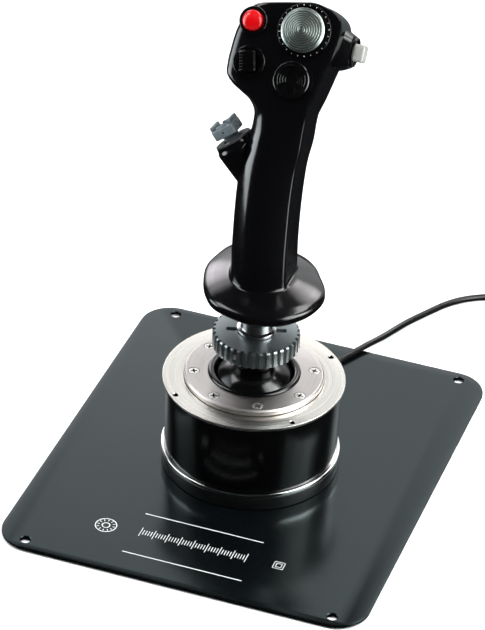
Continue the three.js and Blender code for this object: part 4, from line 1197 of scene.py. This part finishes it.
# ---------- the levers ----------
def bend_points(start, control, end, steps=10):
    """Points of a curve from start to end that leans towards a control point, without its start."""
    start, control, end = Vector(start), Vector(control), Vector(end)
    return [tuple(curve_point(start, control, end, k / steps)) for k in range(1, steps + 1)]


def side_view(start, *curves):
    """An outline from a start point and (control, end) pairs; a pair without a control is a line."""
    points = [start]
    for control, end in curves:
        if control is None:
            points.append(end)
        else:
            points += bend_points(points[-1], control, end)
    return points[:-1]


def build_lever(lever, outline, names, body, looks):
    """A lever hung on a cross pin; its side view is drawn from the pin's centre as (back, up) points."""
    frame = Matrix.Translation(lever["pin"]) @ Matrix(((0, 0, 1), (1, 0, 0), (0, 1, 0))).to_4x4()
    half = lever["width"] / 2
    solid = prism(outline, -half, half, 0)
    solid = combined(solid, [rod(lever["r"] + 0.3, -30, 30, 32, 0)])
    obj = piece(names[0] + "_blade", solid, looks["satin"], body, [names[0]], frame)
    modifier = obj.modifiers.new("edges", "BEVEL")
    modifier.width = 0.9 * MM
    modifier.segments = 3
    modifier.angle_limit = math.radians(50)
    end = lever["cheek"] / 2 - 0.3
    pin = rod(lever["r"], -end, end, 32, 0.3)
    piece(names[1] + "_rod", pin, looks["steel"], "stick", [names[1]], across_pin(lever["pin"]))


def build_trigger(looks):
    outline = side_view((-4, 1), ((-3, 5), (1, 4.4)), ((8, 2), (9.4, -6)), ((8.6, -17), (12, -27)),
                        (None, (8.6, -28.4)), ((4.6, -18), (4.6, -9)), ((1, -4), (-4, 1)))
    build_lever(TRIGGER, outline, ("trigger", "trigger_pin"), "trigger", looks)


def build_paddle(looks):
    outline = side_view((-2.6, 0), ((-1.5, 3), (1.4, 3)), ((9, 1), (9, -8)), (None, (9, -34)),
                        ((10, -41), (14, -43)), (None, (13, -45)), ((6, -43), (6, -34)), (None, (5.4, -9)),
                        ((3, -4), (-2.6, 0)))
    build_lever(PADDLE, outline, ("paddle_lever", "paddle_pin"), "paddle", looks)


def build_steering_button(looks):
    r = STEERING["r"]
    rows = [(0, -6), (r - 0.6, -6), (r, -5), (r, 2.6), (r - 1.4, 3.6), (3, 3.3), (0, 3.1)]
    cap_shape = lathe(rows, 72, 0.5)
    piece("steering_cap", cap_shape, looks["satin"], "steering_button", ["steering_button"],
          along(STEERING["axis"], STEERING["at"]))


# ---------- the cable ----------
def wire_curve(name, points, radius, material):
    curve = bpy.data.curves.new(name, "CURVE")
    curve.dimensions = "3D"
    curve.bevel_depth = radius * MM
    curve.bevel_resolution = 5
    curve.use_fill_caps = True
    spline = curve.splines.new("POLY")
    spline.points.add(len(points) - 1)
    for target, point in zip(spline.points, points):
        target.co = (*(Vector(point) * MM), 1)
    spline.use_smooth = True
    curve.materials.append(material)
    obj = bpy.data.objects.new(name, curve)
    bpy.context.scene.collection.objects.link(obj)
    return obj


def ease(t):
    return t * t * (3 - 2 * t)


def coil_points():
    """Two flat layers of turns: in along the bottom one, up in a part turn, and out along the top one."""
    inward, climb = 4.0, COIL["turns_in"]
    total = climb + COIL["turns_out"]
    pitch_in = (COIL["outer"] - COIL["knee"]) / inward
    count = int(total * 40)
    for i in range(1, count):
        t = total * i / count
        if t < inward:
            r = COIL["outer"] - pitch_in * t
            z = COIL["start"] + (COIL["low"] - COIL["start"]) * ease(min(1, t / 0.3))
        elif t < climb:
            share = (t - inward) / (climb - inward)
            r = COIL["knee"] + (COIL["inner"] - COIL["knee"]) * math.sin(math.pi / 2 * min(1, share * 1.6))
            z = COIL["low"] + (COIL["high"] - COIL["low"]) * ease(share)
        else:
            r = COIL["inner"] + COIL["pitch_out"] * (t - climb)
            z = COIL["high"] + (COIL["leave"] - COIL["high"]) * ease(max(0, (t - total + 0.12) / 0.12))
        a = math.pi / 2 - 2 * math.pi * t
        yield (COIL["x"] + r * math.cos(a), COIL["y"] + r * math.sin(a), z)


def smooth_line(points, spacing=2.0):
    """A smooth line through points, with points on it an even distance apart."""
    points = np.array([points[0], *points, points[-1]], float)
    fine = []
    for i in range(1, len(points) - 2):
        a, b, c, d = points[i - 1:i + 3]
        for k in range(12):
            t = k / 12
            fine.append(0.5 * (2 * b + (c - a) * t + (2 * a - 5 * b + 4 * c - d) * t**2
                               + (3 * b - a - 3 * c + d) * t**3))
    fine.append(points[-2])
    fine = np.array(fine)
    run = np.concatenate([[0], np.cumsum(np.linalg.norm(np.diff(fine, axis=0), axis=1))])
    at = np.linspace(0, run[-1], int(run[-1] / spacing) + 1)
    return np.stack([np.interp(at, run, fine[:, k]) for k in range(3)], axis=1), run[-1]


def build_cable(looks):
    turns = list(coil_points())
    line, length = smooth_line([*CABLE_ROUTE, *turns, *TAIL_ROUTE])
    cable = wire_curve("cable", [tuple(p) for p in line], CABLE_R, looks["rubber"])
    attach(cable, "base")
    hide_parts("usb_cable", "usb_cable_coil")

    out = along((0, 1, 0), (0, 0, 9.3))
    relief = [(5.2, 59.3), (5.2, 61.6), (4.4, 62.5)]
    for i in range(6):
        z = 64 + 3 * i
        r = 4.2 - 0.22 * i
        relief += [(r, z), (r, z + 1.5), (r - 0.8, z + 1.7), (r - 0.85, z + 2.7)]
    gland = lathe([(0, 50), (3.1, 50), (3.1, 59.3), *relief, (2.8, 84), (0, 84)], SMALL, 0.25)
    gland = piece("gland", gland, looks["rubber"], "base", ["cable_gland"], out)

    inner, outer, height = TIE["inner"], TIE["outer"], TIE["height"]
    wide, thick = TIE["width"], 0.6
    turn = Matrix.Translation((COIL["x"], COIL["y"], 0)) @ turn_z(TIE["angle"])
    stand = turn @ Matrix.Translation(((inner + outer) / 2, 0, height / 2))
    stand = stand @ Matrix.Rotation(math.pi / 2, 4, "X")
    band = prism(rounded_rectangle(outer - inner, height, 3.2, 8), -wide / 2, wide / 2, 0.2)
    inside = prism(rounded_rectangle(outer - inner - 2 * thick, height - 2 * thick, 2.7, 8), -10, 10, 0)
    tie = combined(band, [inside])
    tie = piece("tie", tie, looks["satin"], "base", ["coil_tie"], stand)
    plug = build_plug(looks)
    tuple(Vector(CABLE_ROUTE[0]) * MM)


def build_plug(looks):
    place = along((0, -1, 0), (PLUG["x"], 0, PLUG["z"]))
    back, front, tip = -PLUG["back"], -PLUG["front"], -PLUG["tip"]
    grip = prism(rounded_rectangle(*PLUG["grip"], 2), back, front, 0.6)
    grooves = []
    for i in range(5):
        z = back + 6 + 2.4 * i
        for side in (-1, 1):
            grooves.append(block((side * 7 - 0.7, -2.6, z), (side * 7 + 0.7, 2.6, z + 1), 0.2))
    grip = combined(grip, grooves)
    relief = [(2.6, -PLUG["relief"])]
    for i in range(3):
        z = -PLUG["relief"] + 1.4 + 2.4 * i
        relief += [(2.9 + 0.2 * i, z), (2.9 + 0.2 * i, z + 1.2), (2.5 + 0.2 * i, z + 1.4)]
    relief = lathe([(0, -PLUG["relief"]), *relief, (3.5, back + 1), (0, back + 1)], 32, 0.15)
    grip = piece("plug_grip", joined(grip, relief), looks["satin"], "base",
                 ["usb_plug_grip"], place)

    wide, high = PLUG["shell"]
    shell = prism(rounded_rectangle(wide, high, 0.5), front + 0.3, tip, 0.1)
    hollow = prism(rounded_rectangle(wide - 0.8, high - 0.8, 0.3), front + 2, tip + 1, 0)
    windows = [block((x - 1, -5, tip - 8), (x + 1, 5, tip - 6)) for x in (-2.8, 2.8)]
    shell = combined(shell, [hollow, *windows])
    shell = piece("plug_shell", shell, looks["chrome"], "base", ["usb_plug_shell"], place)
    tongue = block((-5, 0.2, front + 2.5), (5, 1.5, tip - 1), 0.15)
    tongue = piece("plug_tongue", tongue, looks["grey"], "base", place=place)
    pads = [block((x - 0.5, 0.1, tip - 8), (x + 0.5, 0.24, tip - 1.6)) for x in (-3.6, -1.2, 1.2, 3.6)]
    pads = piece("plug_contacts", joined(*pads), looks["brass"], "base", place=place)
    return [grip, shell, tongue, pads]


# ---------- the room ----------
def around(azimuth, elevation, distance, height=0.15):
    """A point seen from the object at an azimuth (0 is +Y, 90 is +X) and elevation, in metres."""
    a, e = math.radians(azimuth), math.radians(elevation)
    flat = distance * math.cos(e)
    return (flat * math.sin(a), flat * math.cos(a), height + distance * math.sin(e))


def softbox(name, at, size, radiance, aim=None, color=(1, 1, 1), in_gloss=True, spread=180):
    """A rectangular light of a given radiance, less towards its edges with a narrow spread. The camera
    never sees it."""
    light = bpy.data.lights.new(name, "AREA")
    light.shape = "RECTANGLE"
    light.size, light.size_y = size
    light.energy = radiance * math.pi * size[0] * size[1]
    if spread < 180:
        half = math.radians(spread / 2)
        light.spread = 2 * half
        light.energy *= 1 - half / math.tan(half)
    light.color = color
    obj = bpy.data.objects.new(name, light)
    obj.location = at
    obj.rotation_mode = "QUATERNION"
    aim = aim or (0, 0, at[2])
    obj.rotation_quaternion = (Vector(aim) - Vector(at)).to_track_quat("-Z", "Y")
    obj.visible_camera = False
    obj.visible_glossy = in_gloss
    bpy.context.scene.collection.objects.link(obj)


def build_room(looks):
    bm = bmesh.new()
    bmesh.ops.create_grid(bm, x_segments=1, y_segments=1, size=8)
    mesh = bpy.data.meshes.new("floor")
    bm.to_mesh(mesh)
    bm.free()
    mesh.materials.append(looks["floor"])
    floor = bpy.data.objects.new("floor", mesh)
    floor.visible_glossy = False
    bpy.context.scene.collection.objects.link(floor)

    world = bpy.data.worlds.new("studio")
    world.use_nodes = True
    background = world.node_tree.nodes["Background"]
    background.inputs["Color"].default_value = (0.9, 0.95, 1, 1)
    background.inputs["Strength"].default_value = 0.02
    bpy.context.scene.world = world
    bpy.context.scene.view_settings.view_transform = "Standard"

    softbox("backdrop", around(-14, 24, 2.4), (4.6, 2.0), 1.5, (0, 0, 0.15), (0.97, 0.99, 1), spread=124)
    softbox("left wing", around(-42, 22, 2.2), (1.1, 1.1), 9, (0, 0, 0.15), (1, 0.94, 1), spread=30)
    softbox("right wing", around(16, 38, 2.2), (1.1, 1.1), 10, (0, 0, 0.15), (1, 0.96, 0.97), spread=30)
    softbox("left strip", around(-104, 0, 0.5, 0.5), (0.3, 0.9), 9, color=(0.9, 0.96, 1), spread=90)
    softbox("right strip", around(112, 0, 0.5, 0.56), (0.12, 0.9), 5, color=(0.97, 1, 0.99))
    softbox("crease strip", around(92, 0, 0.5, 0.56), (0.24, 0.9), 9, color=(0.97, 1, 0.99))
    softbox("low strip", around(84, 0, 0.32, 0.2), (0.12, 0.34), 5, color=(0.97, 1, 0.99), spread=120)
    softbox("left key", around(-100, 50, 1.4), (0.5, 0.4), 6, (0, 0, 0.1))
    softbox("right key", around(45, 52, 1.4), (0.5, 0.35), 8, (0, 0, 0.1))
    softbox("rear floor card", (0, 1.3, 0.004), (3, 1.7), 0.2, (0, 1.3, 1), (0.88, 1, 1))
    softbox("overhead fill", (0, -0.2, 2.2), (2.6, 2.6), 4.2, (0, 0, 0), in_gloss=False)


def make_looks():
    floor = Surface("pale floor", (0.93, 0.93, 0.93), 0.85)
    floor.tint(floor.span(floor.noise(120, 3), 0, 1), (0.9, 0.9, 0.9))
    floor.bump(floor.noise(2, 2), 0.02)
    return dict(
        floor=floor.material,
        gloss=gloss_plastic(),
        mirror=gloss_plastic("polished black plastic", roughness=0.08),
        grip=grip_plastic(),
        satin=satin_plastic("black satin plastic", (0.003, 0.0032, 0.0034), 0.34),
        housing=satin_black_metal(),
        powder=powder_coat(),
        rubber=rubber(),
        chrome=chrome(),
        # the cover ring's holes and the clamp disc's screw seats get painted shade
        ring=turned_metal("turned cover ring", (0.78, 0.75, 0.7), 0.26, 0.5,
                          holes=(TOP_RING["top"] - 0.35, TOP_RING["r"] - 0.6)),
        disc=turned_metal("turned clamp disc", (0.66, 0.62, 0.6), 0.34, holes=(DISC["top"] - 0.4, 44)),
        nut=ridged_metal(),
        # the neck's steel is darker than the other steel: painted shade under the hand rest
        neck=turned_metal("brushed steel darkened for painted shade", (0.4, 0.4, 0.4), 0.2),
        hat=ringed_metal(),
        steel=turned_metal("brushed steel", (0.6, 0.6, 0.59), 0.25),
        screw=blasted_metal("zinc plated screw", (0.72, 0.72, 0.7), 0.28),
        # painted shade on each screw below the disc's top, where it sits in its seat
        disc_screw=blasted_metal("zinc plated disc screw", (0.8, 0.78, 0.75), 0.24,
                                 holes=(DISC["top"] - 0.3, SCREW["head_r"] + 1)),
        brass=blasted_metal("gold plated contact", (0.8, 0.6, 0.25), 0.25),
        grey=satin_plastic("grey plastic", (0.075, 0.095, 0.105), 0.3),
        pale=satin_plastic("pale grey plastic", (0.2, 0.2, 0.19), 0.3),
        mount=satin_plastic("mount", (0.02, 0.021, 0.022), 0.35),
        red=gloss_plastic("red gloss plastic", (0.36, 0.0015, 0.003), 0.18),
        ink=white_ink(),
        board=circuit_board(),
    )


# what stays as the CAD made it: node, look, slot
KEPT = [
    ("gimbal_frame", "nut", "grey_aluminium"),
    ("gimbal_ring", "steel", "steel"),
    ("sensor_magnet", "steel", "steel"),
    ("stem_tube", "steel", "steel"),
    ("sensor_board", "board", "circuit_board"),
    ("controller_board", "board", "circuit_board"),
    ("grip_board", "board", "circuit_board"),
    ("trim_pivot", "steel", "steel"),
    ("square_hat_pivot", "steel", "steel"),
    ("round_hat_pivot", "steel", "steel"),
    ("thumb_hat_pivot", "steel", "steel"),
    ("thumb_hat_plunger", "steel", "steel"),
]


def keep_nodes(looks):
    for name, look, slot in KEPT:
        node = frame["nodes"][name]
        node.data.materials.clear()
        node.data.materials.append(looks[look])


def build():
    random.seed(7)
    add_camera()
    looks = make_looks()
    build_cable(looks)
    build_room(looks)
    build_plate(looks)
    build_marks(looks)
    build_shells(looks)
    build_disc(looks)
    build_ball(looks)
    build_neck(looks)
    build_nut(looks)
    build_grip(looks)
    build_weapon(looks)
    build_trim_hat(looks)
    build_square_hat(looks)
    build_round_hat(looks)
    build_thumb_hat(looks)
    build_master_button(looks)
    build_trigger(looks)
    build_paddle(looks)
    build_steering_button(looks)
    keep_nodes(looks)


build()
